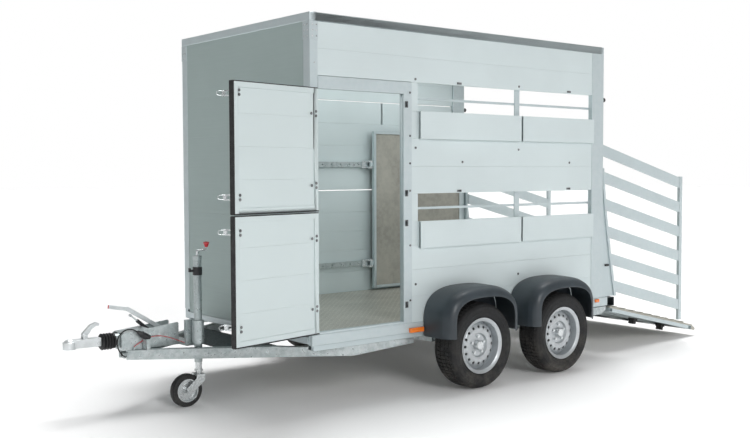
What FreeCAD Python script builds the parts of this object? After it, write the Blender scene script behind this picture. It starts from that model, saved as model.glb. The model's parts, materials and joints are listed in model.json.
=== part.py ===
"""Twin-axle livestock trailer: boxed body, two-leaf side door, air slots, loading ramp."""
import FreeCAD, Part
import math
import os

os.makedirs("parts", exist_ok=True)

# ---------------------------------------------------------------- driving dimensions (mm)
# X runs from the tow ball centre to the rear, Y to the off side, Z up from a datum.
BALL_HEIGHT = 400.0          # ball centre above the datum
GROUND = -18.5               # ground level over the datum
FRONT = 1167.0               # outer face of the front wall, measured from the ball
BODY_LENGTH = 2736.0         # front wall to the rear face of the rear posts
HALF_WIDTH = 770.0           # outer face of a side wall
ROOF_TOP = 2335.0
ROOF_RAIL_LOW = 2283.0
FLOOR_TOP = 440.0
WALL = 25.0
POST_SIDE = 56.0             # front post, face along the side
POST_FRONT = 65.0            # front post, face along the front
REAR_POST_START = 2600.0     # rear post, from the front wall

SILL_LOW, SILL_HIGH = 365.0, 430.0
FRAME_LOW = 331.0            # underside of the longitudinal members

DOOR_X0, DOOR_X1 = 56.0, 720.0
DOOR_Z0, DOOR_Z1 = 446.0, 1890.0
DOOR_SPLIT = 1166.0
JAMB_END = 790.0
LINTEL_TOP = 1965.0
DOOR_OPEN_ANGLE = 169.5      # from closed

SLOT_X0 = 845.0
SLOTS = {"upper": (1784.0, 1968.0), "lower": (1078.0, 1258.0)}
FLAP_SPANS = ((848.0, 1796.0), (1812.0, 2595.0))
MID_POST_X = 1804.0

WHEEL_X = {"front": 1205.0, "rear": 2009.0}
WHEEL_R = 281.0
AXLE_Z = GROUND + WHEEL_R
WHEEL_Y = 912.5              # wheel centre plane from the centreline
RIM_FLANGE_R = 183.0
BEAD_R = 165.0
BOLT_PCD = 112.0

RAMP_HINGE = (2915.0, 325.0)
RAMP_SLOPE = 12.9            # degrees below level when down
RAMP_LENGTH = 1240.0
RAMP_HALF = 690.0

JOCKEY = (-435.0, -192.0)    # jockey tube axis, from the front wall
JOCKEY_WHEEL_R = 100.0
JOCKEY_TRAIL = 86.0

DOWN = FreeCAD.Vector(0, 0, -BALL_HEIGHT)
nodes = {}


# ---------------------------------------------------------------- helpers
def v(x, y, z):
    return FreeCAD.Vector(x, y, z)


def box(x0, x1, y0, y1, z0, z1):
    """A block between two corners, X measured from the front wall."""
    low_x, high_x = sorted((x0, x1))
    low_y, high_y = sorted((y0, y1))
    low_z, high_z = sorted((z0, z1))
    corner = v(FRONT + low_x, low_y, low_z)
    return Part.makeBox(high_x - low_x, high_y - low_y, high_z - low_z, corner)


def section(x0, x1, y0, y1, z0, z1, wall, along):
    """A hollow box section, open at both ends along one axis."""
    low = [min(x0, x1) + wall, min(y0, y1) + wall, min(z0, z1) + wall]
    high = [max(x0, x1) - wall, max(y0, y1) - wall, max(z0, z1) - wall]
    i = "xyz".index(along)
    low[i] -= wall + 5
    high[i] += wall + 5
    core = box(low[0], high[0], low[1], high[1], low[2], high[2])
    return box(x0, x1, y0, y1, z0, z1).cut(core)


def four_bars(x0, x1, y0, y1, z0, z1, width, wall):
    """An upright frame of four hollow bars: stiles full height, rails between them."""
    stiles = [section(a, a + width, y0, y1, z0, z1, wall, "z") for a in (x0, x1 - width)]
    rails = [section(x0 + width, x1 - width, y0, y1, a, a + width, wall, "x")
             for a in (z0, z1 - width)]
    return stiles + rails


def rod(start, end, radius):
    """A round bar between two points, X measured from the front wall."""
    a = v(FRONT + start[0], start[1], start[2])
    b = v(FRONT + end[0], end[1], end[2])
    return Part.makeCylinder(radius, (b - a).Length, a, b - a)


def pipe(start, end, outer, inner):
    a = v(FRONT + start[0], start[1], start[2])
    b = v(FRONT + end[0], end[1], end[2])
    along = b - a
    over = along.normalize() * 1.0
    bore = Part.makeCylinder(inner, (b - a).Length + 2, a - over, b - a)
    return rod(start, end, outer).cut(bore)


def plate_xz(outline, y0, y1):
    """A plate from an outline of (x, z) points, spanning y0 to y1."""
    points = [v(FRONT + x, y0, z) for x, z in outline]
    face = Part.Face(Part.makePolygon(points + [points[0]]))
    return face.extrude(v(0, y1 - y0, 0))


def plate_xy(outline, z0, z1):
    points = [v(FRONT + x, y, z0) for x, y in outline]
    face = Part.Face(Part.makePolygon(points + [points[0]]))
    return face.extrude(v(0, 0, z1 - z0))


def beam(points, width, height):
    """A straight box section along points (start, end), width across and height up."""
    start, end = [v(FRONT + p[0], p[1], p[2]) for p in points]
    along = (end - start).normalize()
    side = along.cross(v(0, 0, 1)).normalize() * (width / 2)
    up = side.cross(along).normalize() * (height / 2)
    corners = [start + side + up, start + side - up, start - side - up, start - side + up]
    face = Part.Face(Part.makePolygon(corners + [corners[0]]))
    return face.extrude(end - start)


def mirror(shape):
    """The same piece on the other side of the centreline."""
    return shape.mirror(v(0, 0, 0), v(0, 1, 0))


def both_sides(shapes):
    return shapes + [mirror(s) for s in shapes]


def turned(shape, point, axis, angle):
    """A copy turned about a line, the point's X measured from the front wall."""
    out = shape.copy()
    out.rotate(v(FRONT + point[0], point[1], point[2]), v(*axis), angle)
    return out


def revolve_y(profile, centre):
    """Solid of revolution about a line along Y; profile holds (radius, y) points."""
    points = [v(FRONT + centre[0], y, centre[1] + r) for r, y in profile]
    face = Part.Face(Part.makePolygon(points + [points[0]]))
    return face.revolve(v(FRONT + centre[0], 0, centre[1]), v(0, 1, 0), 360)


def revolve_z(profile, x, y):
    """Solid of revolution about an upright line; profile holds (radius, z) points."""
    points = [v(FRONT + x + r, y, z) for r, z in profile]
    face = Part.Face(Part.makePolygon(points + [points[0]]))
    return face.revolve(v(FRONT + x, y, 0), v(0, 0, 1), 360)


def add(name, shapes):
    solids = []
    for shape in shapes:
        solids += shape.Solids
    nodes.setdefault(name, []).extend(solids)


def cord_path(points):
    """Straight runs joined by tangent arcs; returns the wire and the arc radii."""
    pts = [v(FRONT + x, y, z) for x, y, z in points]
    runs = [(b - a).Length for a, b in zip(pts, pts[1:])]
    edges, radii = [], []
    here = pts[0]
    for i in range(1, len(pts) - 1):
        back = (pts[i - 1] - pts[i]).normalize()
        on = (pts[i + 1] - pts[i]).normalize()
        turn = math.pi - back.getAngle(on)
        trim = 0.45 * min(runs[i - 1], runs[i])
        radius = trim / math.tan(turn / 2)
        first = pts[i] + back * trim
        last = pts[i] + on * trim
        middle_dir = (back + on).normalize()
        to_centre = radius / math.cos(turn / 2)
        middle = pts[i] + middle_dir * (to_centre - radius)
        edges.append(Part.LineSegment(here, first).toShape())
        edges.append(Part.Arc(first, middle, last).toShape())
        here = last
        radii.append(radius)
    edges.append(Part.LineSegment(here, pts[-1]).toShape())
    return Part.Wire(edges), radii


def cord(name, points, diameter):
    """The tube of a cord, with its length and radii printed for checking."""
    path, radii = cord_path(points)
    start = v(FRONT + points[0][0], points[0][1], points[0][2])
    heading = v(FRONT + points[1][0], points[1][1], points[1][2]) - start
    ring = Part.Wire(Part.makeCircle(diameter / 2, start, heading))
    tube = path.makePipeShell([ring], True, False)
    if tube.Volume < 0:
        tube.reverse()
    wanted = math.pi * (diameter / 2) ** 2 * path.Length
    print(name, "length", round(path.Length), "volume ratio", round(tube.Volume / wanted, 3))
    print(name, "radii", [round(r) for r in radii])
    return tube


# ---------------------------------------------------------------- chassis
SIDE_Y0, SIDE_Y1 = 690.0, 735.0
CROSS_X = (60.0, 520.0, 860.0, 1320.0, 1560.0, 2120.0, 2360.0, 2560.0)


def chassis_frame():
    side = section(30, 2790, -SIDE_Y1, -SIDE_Y0, FRAME_LOW, 424.5, 4, "x")
    add("chassis_frame", both_sides([side]))
    for x in CROSS_X:
        add("chassis_frame", [section(x, x + 40, -SIDE_Y0, SIDE_Y0, 365, 424.5, 3, "y")])


DRAW_FRONT = (-840.0, -52.0)     # front end of a drawbar member, outer face
DRAW_BEND = (332.0, -742.0)
DRAW_END = 834.0
DRAW_WIDTH = 52.0


def drawbar_member():
    """A folded member: tapered arm to the bend, then along under the side member."""
    slope = math.hypot(DRAW_BEND[0] - DRAW_FRONT[0], DRAW_BEND[1] - DRAW_FRONT[1])
    nx = (DRAW_BEND[1] - DRAW_FRONT[1]) / slope * DRAW_WIDTH
    ny = (DRAW_BEND[0] - DRAW_FRONT[0]) / slope * DRAW_WIDTH
    inner_front = (DRAW_FRONT[0] - nx, DRAW_FRONT[1] + ny)
    inner_y = DRAW_BEND[1] + DRAW_WIDTH
    reach = (inner_y - inner_front[1]) / (DRAW_BEND[1] - DRAW_FRONT[1])
    inner_bend = inner_front[0] + reach * (DRAW_BEND[0] - DRAW_FRONT[0])
    plan = [DRAW_FRONT, DRAW_BEND, (DRAW_END, DRAW_BEND[1]), (DRAW_END, inner_y),
            (inner_bend, inner_y), inner_front]
    solid = plate_xy(plan, 240, 345)
    side = [(DRAW_FRONT[0] - 60, 285), (DRAW_BEND[0], 265), (DRAW_END + 10, 291),
            (DRAW_END + 10, 330.7), (20, 330.7), (-60, 338), (DRAW_FRONT[0] - 60, 342)]
    member = solid.common(plate_xz(side, -900, 100))
    skin = 5.0
    pocket = plate_xy([(px, py + skin + 1) for px, py in plan], 240, 345)
    ends = (DRAW_FRONT[0] + 8, DRAW_END - 8)
    inner = [(ends[0], 291), (DRAW_BEND[0], 265 + skin), (ends[1], 291 + skin),
             (ends[1], 325), (20, 325), (-60, 332), (ends[0], 336)]
    return member.cut(pocket.common(plate_xz(inner, -900, 100)))


def drawbar():
    member = drawbar_member()
    add("drawbar", both_sides([member]))
    spread = 690.0 / 1172.0
    plan = []
    for x in (-330.0, -20.0):
        half = 52 + (x + 840) * spread - 70
        plan.append((x, -half))
    outline = [plan[0], plan[1], (plan[1][0], -plan[1][1]), (plan[0][0], -plan[0][1])]
    add("drawbar", [plate_xy(outline, 322, 330)])


HOUSING_X0, HOUSING_X1 = -895.0, -690.0
BELLOWS_X0 = -984.0
TUBE_Z = 400.0
TUBE_R = 25.0
HOUSING_R = 42.0


def overrun_housing():
    """Bored tube housing on a bolted foot plate, between two rising side plates."""
    add("overrun_housing", [pipe((HOUSING_X0, 0, TUBE_Z), (HOUSING_X1, 0, TUBE_Z),
                                 HOUSING_R, TUBE_R + 0.06)])
    foot_x = (HOUSING_X0 + 33, HOUSING_X1 - 10)
    add("overrun_housing", [box(foot_x[0], foot_x[1], -48, 48, 342.3, TUBE_Z - HOUSING_R - 0.5)])
    for x in (foot_x[0] + 17, foot_x[1] - 18):
        for y in (-39, 39):
            add("overrun_housing", [rod((x, y, 357.8), (x, y, 366), 7)])
    side = [(-876, 343.2), (-876, 436), (-862, 446), (-508, 481), (-500, 474), (-500, 343.2)]
    pin_hole = rod((LEVER_PIN[0], 60, LEVER_PIN[1]), (LEVER_PIN[0], 70, LEVER_PIN[1]), 8.5)
    add("overrun_housing", [plate_xz(side, -66, -62), plate_xz(side, 62, 66).cut(pin_hole)])
    lid = plate_xz([(-862, 443), (-862, 446.5), (-700, 462.2), (-700, 458.7)], -61.8, 61.8)
    add("overrun_housing", [lid])


def bellows():
    profile = [(TUBE_R + 1.5, BELLOWS_X0), (34, BELLOWS_X0)]
    folds = 4
    pitch = (HOUSING_X0 - 12 - BELLOWS_X0) / folds
    for i in range(folds):
        x = BELLOWS_X0 + 2 + i * pitch
        profile += [(50, x + pitch * 0.35), (50, x + pitch * 0.6), (38, x + pitch * 0.97)]
    end = HOUSING_X0 - 0.5
    profile += [(45, end - 8), (45, end), (TUBE_R + 1.5, end)]
    points = [v(FRONT + x, 0, TUBE_Z + r) for r, x in profile]
    face = Part.Face(Part.makePolygon(points + [points[0]]))
    add("bellows", [face.revolve(v(0, 0, TUBE_Z), v(1, 0, 0), 360)])


# ---------------------------------------------------------------- coupling
def coupling():
    add("drawtube", [rod((-1010, 0, TUBE_Z), (-560, 0, TUBE_Z), TUBE_R)])
    shell = Part.makeSphere(38, v(0, 0, BALL_HEIGHT))
    shell = shell.fuse(Part.makeCylinder(38, 42, v(0, 0, BALL_HEIGHT - 22)))
    neck = box(-FRONT + 10, -986, -31, 31, TUBE_Z - 18, TUBE_Z + 31)
    shell = shell.fuse(neck)
    socket = Part.makeSphere(25.3, v(0, 0, BALL_HEIGHT))
    throat = Part.makeCylinder(25.3, 60, v(0, 0, BALL_HEIGHT - 60))
    shell = shell.cut(socket.fuse(throat))
    shell = shell.cut(rod((-1030, 0, TUBE_Z), (-980, 0, TUBE_Z), TUBE_R + 0.02))
    low = Part.makeBox(260, 200, 100, v(-60, -100, BALL_HEIGHT - 122))
    shell = shell.cut(low)
    ears = [box(-1090, -1062, s, s + 5, TUBE_Z + 31, TUBE_Z + 58) for s in (-19, 14)]
    add("coupling_head", [shell.fuse(ears[0]).fuse(ears[1])])
    for y in (-37, 31.2):
        add("coupling_head", [rod((-1002, y, TUBE_Z), (-1002, y + 5.8, TUBE_Z), 9)])


HANDLE_PIN = (-1076.0, 449.0)


def coupling_handle():
    """Curved release handle between the ears, rising to the rear."""
    side = [(-1092, 441), (-1066, 439), (-1052, 460), (-1034, 484), (-1010, 499), (-992, 500),
            (-986, 512), (-1006, 522), (-1044, 508), (-1070, 482), (-1090, 462)]
    grip = plate_xz(side, -12, 12)
    grip = grip.cut(rod((HANDLE_PIN[0], -30, HANDLE_PIN[1]), (HANDLE_PIN[0], 30, HANDLE_PIN[1]), 4.05))
    add("coupling_handle", [grip])
    pin = rod((HANDLE_PIN[0], -22, HANDLE_PIN[1]), (HANDLE_PIN[0], 22, HANDLE_PIN[1]), 4)
    head = nodes["coupling_head"]
    bore = rod((HANDLE_PIN[0], -22, HANDLE_PIN[1]), (HANDLE_PIN[0], 22, HANDLE_PIN[1]), 4)
    nodes["coupling_head"] = [s.cut(bore) for s in head] + [pin]


# ---------------------------------------------------------------- handbrake
LEVER_PIN = (-548.0, 428.0)
LEVER_TOP = (-783.0, 574.0)
LEVER_TIP = (-907.0, 598.0)
LEVER_Y = 45.0
STRUT_FOOT = (-600.0, 396.0)


def handbrake():
    """Lever beside the drawtube, with a gas strut from the bracket to its elbow."""
    x, z = LEVER_PIN
    arm = beam([(x, LEVER_Y, z), (LEVER_TOP[0], LEVER_Y, LEVER_TOP[1])], 12, 26)
    tip = beam([(LEVER_TOP[0], LEVER_Y, LEVER_TOP[1]), (LEVER_TIP[0], LEVER_Y, LEVER_TIP[1])], 12, 22)
    boss = rod((x, LEVER_Y - 6, z), (x, LEVER_Y + 6, z), 22)
    lever = arm.fuse(tip).fuse(boss).fuse(rod((LEVER_TOP[0], LEVER_Y - 6, LEVER_TOP[1]),
                                              (LEVER_TOP[0], LEVER_Y + 6, LEVER_TOP[1]), 13))
    lever = lever.cut(rod((x, LEVER_Y - 20, z), (x, LEVER_Y + 20, z), 8.06))
    add("handbrake_lever", [lever])
    pin = rod((x, LEVER_Y - 20, z), (x, LEVER_Y + 20, z), 8)
    cheeks = []
    for y0, y1 in ((LEVER_Y - 14, LEVER_Y - 8), (LEVER_Y + 8, LEVER_Y + 14)):
        outline = [(-680, 343), (-500, 343), (-500, 400), (-525, 450), (-562, 450), (-584, 404),
                   (-612, 404), (-680, 384)]
        cheeks.append(plate_xz(outline, y0, y1).cut(rod((x, y0 - 5, z), (x, y1 + 5, z), 8)))
    add("drawbar_fittings", cheeks + [pin])
    add("drawbar_fittings", [box(-680, -500, -60, 80, 342.2, 343)])
    foot_x, foot_z = STRUT_FOOT
    add("drawbar_fittings", [rod((foot_x, LEVER_Y - 8, foot_z), (foot_x, LEVER_Y + 8, foot_z), 5)])


STRUT_HEAD_GAP = 36.0


def strut():
    """Gas strut under the lever; its head stands just clear of the lever's underside."""
    foot = v(FRONT + STRUT_FOOT[0], LEVER_Y, STRUT_FOOT[1])
    head = v(FRONT + LEVER_TOP[0] + 12, LEVER_Y, LEVER_TOP[1] - STRUT_HEAD_GAP)
    along = (head - foot).normalize()
    length = (head - foot).Length
    barrel = Part.makeCylinder(11, length * 0.66 - 14, foot + along * 26, along)
    barrel = barrel.fuse(Part.makeCylinder(7, 30, foot, along))
    bore = Part.makeCylinder(4.56, length * 0.66 + 20, foot + along * 20, along)
    barrel = barrel.cut(bore)
    eye = rod((STRUT_FOOT[0], LEVER_Y - 6, STRUT_FOOT[1]), (STRUT_FOOT[0], LEVER_Y + 6, STRUT_FOOT[1]), 12)
    eye = eye.cut(rod((STRUT_FOOT[0], LEVER_Y - 9, STRUT_FOOT[1]),
                      (STRUT_FOOT[0], LEVER_Y + 9, STRUT_FOOT[1]), 5.05))
    barrel = barrel.cut(rod((STRUT_FOOT[0], LEVER_Y - 20, STRUT_FOOT[1]),
                            (STRUT_FOOT[0], LEVER_Y + 20, STRUT_FOOT[1]), 5.05))
    add("strut_cylinder", [eye.fuse(barrel)])
    piston = Part.makeCylinder(4.5, length - 45 - 6, foot + along * 45, along)
    end = Part.makeCylinder(8, 14, head - along * 14, along)
    add("strut_rod", [piston.fuse(end)])


# ---------------------------------------------------------------- jockey wheel
CLAMP_Z0, CLAMP_Z1 = 360.0, 500.0


def clamp_staves(x, y):
    """The clamp round the tube, in eight staves."""
    ring = pipe((x, y, CLAMP_Z0), (x, y, CLAMP_Z1), 36, 24.08)
    staves = []
    for i in range(8):
        edges = [math.radians(45 * i + a) for a in (0, 22.5, 45)]
        fan = [(x, y)] + [(x + 60 * math.cos(a), y + 60 * math.sin(a)) for a in edges]
        staves.append(ring.common(plate_xy(fan, CLAMP_Z0 - 5, CLAMP_Z1 + 5)))
    return staves


def jockey():
    x, y = JOCKEY
    add("drawbar_fittings", clamp_staves(x, y))
    add("drawbar_fittings", [box(x - 62, x + 22, y + 36.5, y + 62, CLAMP_Z0, CLAMP_Z1)])
    add("drawbar_fittings", [box(x - 62, x + 22, y + 34, 214, 343, CLAMP_Z0)])
    outer = pipe((x, y, 245), (x, y, 868), 24, 20.06)
    cap = rod((x, y, 868), (x, y, 892), 27).cut(rod((x, y, 860), (x, y, 900), 8.06))
    add("jockey_outer_tube", [outer.fuse(cap)])
    inner = pipe((x, y, 200), (x, y, 560), 20, 16)
    head = rod((x, y, 188), (x, y, 200), 26)
    add("jockey_inner_tube", [inner.fuse(head), rod((x, y, 176), (x, y, 188), 9)])
    shaft = rod((x, y, 780), (x, y, 922), 8)
    arm = rod((x, y, 922), (x + 58, y - 8, 930), 6)
    joint = Part.makeSphere(8, v(FRONT + x, y, 922))
    grip = rod((x + 58, y - 8, 922), (x + 58, y - 8, 942), 6)
    knob = revolve_z([(0, 943), (9, 943), (13, 956), (18, 966), (18, 974), (0, 978)], x + 58, y - 8)
    add("jockey_crank", [shaft.fuse(joint).fuse(arm).fuse(grip), knob])
    jockey_fork(x, y)
    centre = (x - JOCKEY_TRAIL, GROUND + JOCKEY_WHEEL_R)
    edge = JOCKEY_WHEEL_R
    tyre = revolve_y([(70, y - 25), (82, y - 26), (edge - 4, y - 23), (edge, y - 14),
                      (edge, y + 14), (edge - 4, y + 23), (82, y + 26), (70, y + 25)], centre)
    rim = revolve_y([(8.06, y - 22), (22, y - 22), (22, y - 8), (60, y - 8), (64, y - 24),
                     (70, y - 24), (70, y + 24), (64, y + 24), (60, y + 8), (22, y + 8),
                     (22, y + 22), (8.06, y + 22)], centre)
    add("jockey_wheel", [tyre, rim])


def jockey_fork(x, y):
    """Swivel plate and two cheeks carrying the wheel's axle ahead of the tube."""
    plate = box(x - 30, x + 26, y - 37, y + 37, 166, 174)
    socket = pipe((x, y, 174), (x, y, 187.6), 18, 9.06)
    plate = plate.fuse(socket).cut(rod((x, y, 160), (x, y, 190), 9.06))
    axle = (x - JOCKEY_TRAIL, GROUND + JOCKEY_WHEEL_R)
    outline = [(x - 30, 174), (x + 26, 174), (x + 22, 132), (axle[0] + 24, axle[1] - 15),
               (axle[0] - 12, axle[1] - 13), (axle[0] - 12, axle[1] + 13), (x - 34, 150)]
    cheeks = [plate_xz(outline, y - 37, y - 33), plate_xz(outline, y + 33, y + 37)]
    fork = plate.fuse(cheeks[0]).fuse(cheeks[1])
    fork = fork.cut(rod((axle[0], y - 40, axle[1]), (axle[0], y + 40, axle[1]), 8))
    add("jockey_fork", [fork, rod((axle[0], y - 43, axle[1]), (axle[0], y + 43, axle[1]), 8)])


# ---------------------------------------------------------------- axles and wheels
def axle(x):
    """Torsion axle: square beam, trailing arms and stub axles on both sides."""
    beam_x = x - 120
    cross = box(beam_x - 32, beam_x + 32, -675, 675, 264, 328)
    neck = rod((beam_x, -745, 296), (beam_x, -640, 296), 24)
    cross = cross.cut(neck).cut(mirror(neck))
    pads = [box(beam_x - 50, beam_x + 50, -733, -677, 320.5, 330.7)]
    arm_plan = [(beam_x - 30, 262), (beam_x + 30, 262), (x + 26, AXLE_Z - 24),
                (x + 26, AXLE_Z + 24), (x - 20, AXLE_Z + 30), (beam_x + 30, 322), (beam_x - 30, 322)]
    arm = plate_xz(arm_plan, -781, -741)
    stub = rod((x, -960, AXLE_Z), (x, -770, AXLE_Z), 20)
    return [cross] + both_sides([arm.fuse(neck).fuse(stub)] + pads)


def road_wheel(name, x, side):
    """Tyre, pressed rim with vent holes, drum, bolts and cap; side is -1 or 1."""
    centre = (x, AXLE_Z)
    mid = side * WHEEL_Y

    def y(outward):
        return mid + side * outward

    half = [(BEAD_R, 60), (BEAD_R, 71.5), (179, 75.5), (184, 76), (212, 94), (236, 97.5),
            (258, 93), (272, 82), (WHEEL_R, 62), (WHEEL_R, 30)]
    hollow = [(266, 62), (254, 82), (232, 86), (208, 80), (184, 62)]
    tyre = revolve_y([(r, y(-w)) for r, w in half] + [(r, y(w)) for r, w in half[::-1]]
                     + [(r, y(w)) for r, w in hollow[::-1]]
                     + [(r, y(-w)) for r, w in hollow], centre)
    add("tyre_" + name, [tyre])
    barrel = revolve_y([(RIM_FLANGE_R, y(-84)), (RIM_FLANGE_R, y(-80)), (179, y(-76)),
                        (BEAD_R - 0.2, y(-72)), (BEAD_R - 0.2, y(-46)), (148, y(-36)),
                        (148, y(-6)), (BEAD_R - 0.2, y(16)), (BEAD_R - 0.2, y(72)),
                        (179, y(76)), (RIM_FLANGE_R, y(80)), (RIM_FLANGE_R, y(84)),
                        (175, y(82)), (160, y(74)), (160, y(18)), (143, y(-4)),
                        (143, y(-40)), (160, y(-50)), (160, y(-74)), (175, y(-82))], centre)
    disc = revolve_y([(33, y(34)), (72, y(34)), (80, y(48)), (108, y(52)), (134, y(44)),
                      (160, y(20)), (160, y(15)), (132, y(38)), (108, y(46)), (84, y(42)),
                      (76, y(28)), (33, y(28))], centre)
    rim = barrel.fuse(disc)
    for i in range(16):
        angle = math.radians(22.5 * i)
        hx = x + 121 * math.cos(angle)
        hz = AXLE_Z + 121 * math.sin(angle)
        rim = rim.cut(rod((hx, y(20), hz), (hx, y(70), hz), 9.4))
    drum = revolve_y([(20.05, y(-128)), (130, y(-128)), (134, y(-122)), (134, y(-20)),
                      (130, y(8)), (72, y(14)), (72, y(27.9)), (20.05, y(27.9))], centre)
    bolts = []
    for i in range(5):
        angle = math.radians(72 * i + 90)
        bx = x + BOLT_PCD / 2 * math.cos(angle)
        bz = AXLE_Z + BOLT_PCD / 2 * math.sin(angle)
        hole = rod((bx, y(20), bz), (bx, y(60), bz), 6.5)
        rim = rim.cut(hole)
        bolts.append(rod((bx, y(28), bz), (bx, y(50), bz), 6.5)
                     .fuse(rod((bx, y(34), bz), (bx, y(48), bz), 9.5)))
    cap = revolve_y([(20.05, y(28.1)), (32, y(28.1)), (32, y(58)), (26, y(66)), (0, y(68)),
                     (0, y(62)), (20.05, y(58))], centre)
    add("rim_" + name, [rim, drum, cap] + bolts)


MUD_HALF = 340.0
MUD_TOP = 652.0
MUD_TURN = 420.0             # height at which the arch runs into straight ends
MUD_FOOT = 332.0
MUD_SHIFT = 20.0             # the guard stands this far behind its wheel centre
MUD_IN, MUD_OUT = 776.0, 1022.0


def mud_outline(x, inset):
    """Points over a mudguard arch, offset inwards by inset, from front to rear."""
    half = MUD_HALF - inset
    rise = MUD_TOP - inset - MUD_TURN
    arch = []
    steps = 14
    for i in range(steps + 1):
        angle = math.pi * (1 - i / steps)
        c, s = math.cos(angle), math.sin(angle)
        across = math.copysign(abs(c) ** 0.72, c) * half
        arch.append((x + MUD_SHIFT + across, MUD_TURN + s ** 0.72 * rise))
    return arch


def guard_rib(x, depth, y0, y1):
    """The arch with its straight ends, depth thick, spanning y0 to y1."""
    middle = x + MUD_SHIFT
    outer = [(middle - MUD_HALF, MUD_FOOT)] + mud_outline(x, 0) + [(middle + MUD_HALF, MUD_FOOT)]
    inner = [(middle - MUD_HALF + depth, MUD_FOOT)] + mud_outline(x, depth)
    inner += [(middle + MUD_HALF - depth, MUD_FOOT)]
    return plate_xz(outer + inner[::-1], y0, y1)


def mudguard(x):
    """Broad arch with a deep outer lip and a liner against the body."""
    shell = guard_rib(x, 5, -MUD_OUT, -MUD_IN)
    lip = guard_rib(x, 36, -MUD_OUT, -MUD_OUT + 6)
    middle = x + MUD_SHIFT
    liner = plate_xz([(middle - MUD_HALF + 5, MUD_TURN)] + mud_outline(x, 5)
                     + [(middle + MUD_HALF - 5, MUD_TURN)], -MUD_IN - 3, -MUD_IN)
    return shell.fuse(lip).fuse(liner)


def running_gear():
    add("axles", axle(WHEEL_X["front"]) + axle(WHEEL_X["rear"]))
    for end, x in WHEEL_X.items():
        road_wheel(end + "_left", x, -1)
        road_wheel(end + "_right", x, 1)
        add("mudguards", both_sides([mudguard(x)]))


# ---------------------------------------------------------------- body
PLANKS_LOW = (430.0, 600.0, 770.0, 925.0, 1078.0)
PLANKS_MID = (1258.0, 1433.0, 1609.0, 1784.0)
PLANKS_TOP = (1968.0, 2125.0, 2283.0)
WALL_IN = HALF_WIDTH - WALL
PLANK_SKIN = 2.5


def wall_planks(y0, y1, door_side):
    out = []
    for levels in (PLANKS_LOW, PLANKS_MID, PLANKS_TOP):
        for z0, z1 in zip(levels, levels[1:]):
            start = JAMB_END if door_side and z0 < LINTEL_TOP else POST_SIDE
            out.append(section(start, REAR_POST_START, y0, y1, z0, z1, PLANK_SKIN, "x"))
    for z0, z1 in SLOTS.values():
        start = JAMB_END if door_side else POST_SIDE
        out.append(section(start, SLOT_X0, y0, y1, z0, z1, PLANK_SKIN, "z"))
    return out


def body():
    add("left_wall", wall_planks(-HALF_WIDTH, -WALL_IN, True))
    add("right_wall", wall_planks(WALL_IN, HALF_WIDTH, False))
    half_front = HALF_WIDTH - POST_FRONT
    levels = (415.0, 600.0, 860.0, 1120.0, 1380.0, 1640.0, 1900.0, 2283.0)
    for z0, z1 in zip(levels, levels[1:]):
        add("front_wall", [section(0, WALL, -half_front, half_front, z0, z1, PLANK_SKIN, "y")])
    front_post = box(0, POST_SIDE, -HALF_WIDTH - 2, -738, 431, ROOF_RAIL_LOW)
    front_post = front_post.fuse(box(-2, 30, -HALF_WIDTH - 2, -half_front, 431, ROOF_RAIL_LOW))
    rear_post = section(REAR_POST_START, BODY_LENGTH, -HALF_WIDTH - 2, -736, 431, ROOF_RAIL_LOW,
                        4, "z")
    add("corner_posts", both_sides([front_post, rear_post]))
    add("floor_plate", [box(31, 2796, -734, 734, 425, FLOOR_TOP)])
    side_sill = box(2, 2798, -HALF_WIDTH - 4, -736, SILL_LOW, SILL_HIGH)
    side_lip = box(20, REAR_POST_START, -HALF_WIDTH + 8, -736, FRAME_LOW, SILL_LOW)
    front_sill = box(-3, 29, -735.5, 735.5, 373, 414.5)
    threshold = box(DOOR_X0 + 1, DOOR_X1 - 1, -HALF_WIDTH - 4, -736, SILL_HIGH, DOOR_Z0 - 2)
    add("sill_rails", both_sides([side_sill.fuse(side_lip)]) + [front_sill, threshold])
    jamb = box(DOOR_X1, JAMB_END, -HALF_WIDTH - 4, -738, SILL_HIGH + 0.5, LINTEL_TOP)
    lintel = box(POST_SIDE, DOOR_X1, -HALF_WIDTH - 4, -738, DOOR_Z1, LINTEL_TOP)
    add("door_frame", [jamb, lintel])
    for x0, x1, y0, y1 in ((-4, 40, -HALF_WIDTH - 4, HALF_WIDTH + 4),
                           (BODY_LENGTH - 40, BODY_LENGTH, -HALF_WIDTH - 4, HALF_WIDTH + 4),
                           (40, BODY_LENGTH - 40, -HALF_WIDTH - 4, -738),
                           (40, BODY_LENGTH - 40, 738, HALF_WIDTH + 4)):
        add("roof_rails", [box(x0, x1, y0, y1, ROOF_RAIL_LOW, ROOF_TOP)])
    add("roof_panel", [section(40, BODY_LENGTH - 40, -738, 738, 2300, 2328, PLANK_SKIN, "x")])
    bars = []
    for z0, z1 in SLOTS.values():
        middle = (z0 + z1) / 2 - 6
        bars.append(box(SLOT_X0 - 15, REAR_POST_START + 8, -735, -723, middle - 8, middle + 8))
    post = box(MID_POST_X - 25, MID_POST_X + 25, -744.5, -735.5, FLOOR_TOP + 1, ROOF_RAIL_LOW)
    add("slot_bars", bars + [post])


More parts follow.
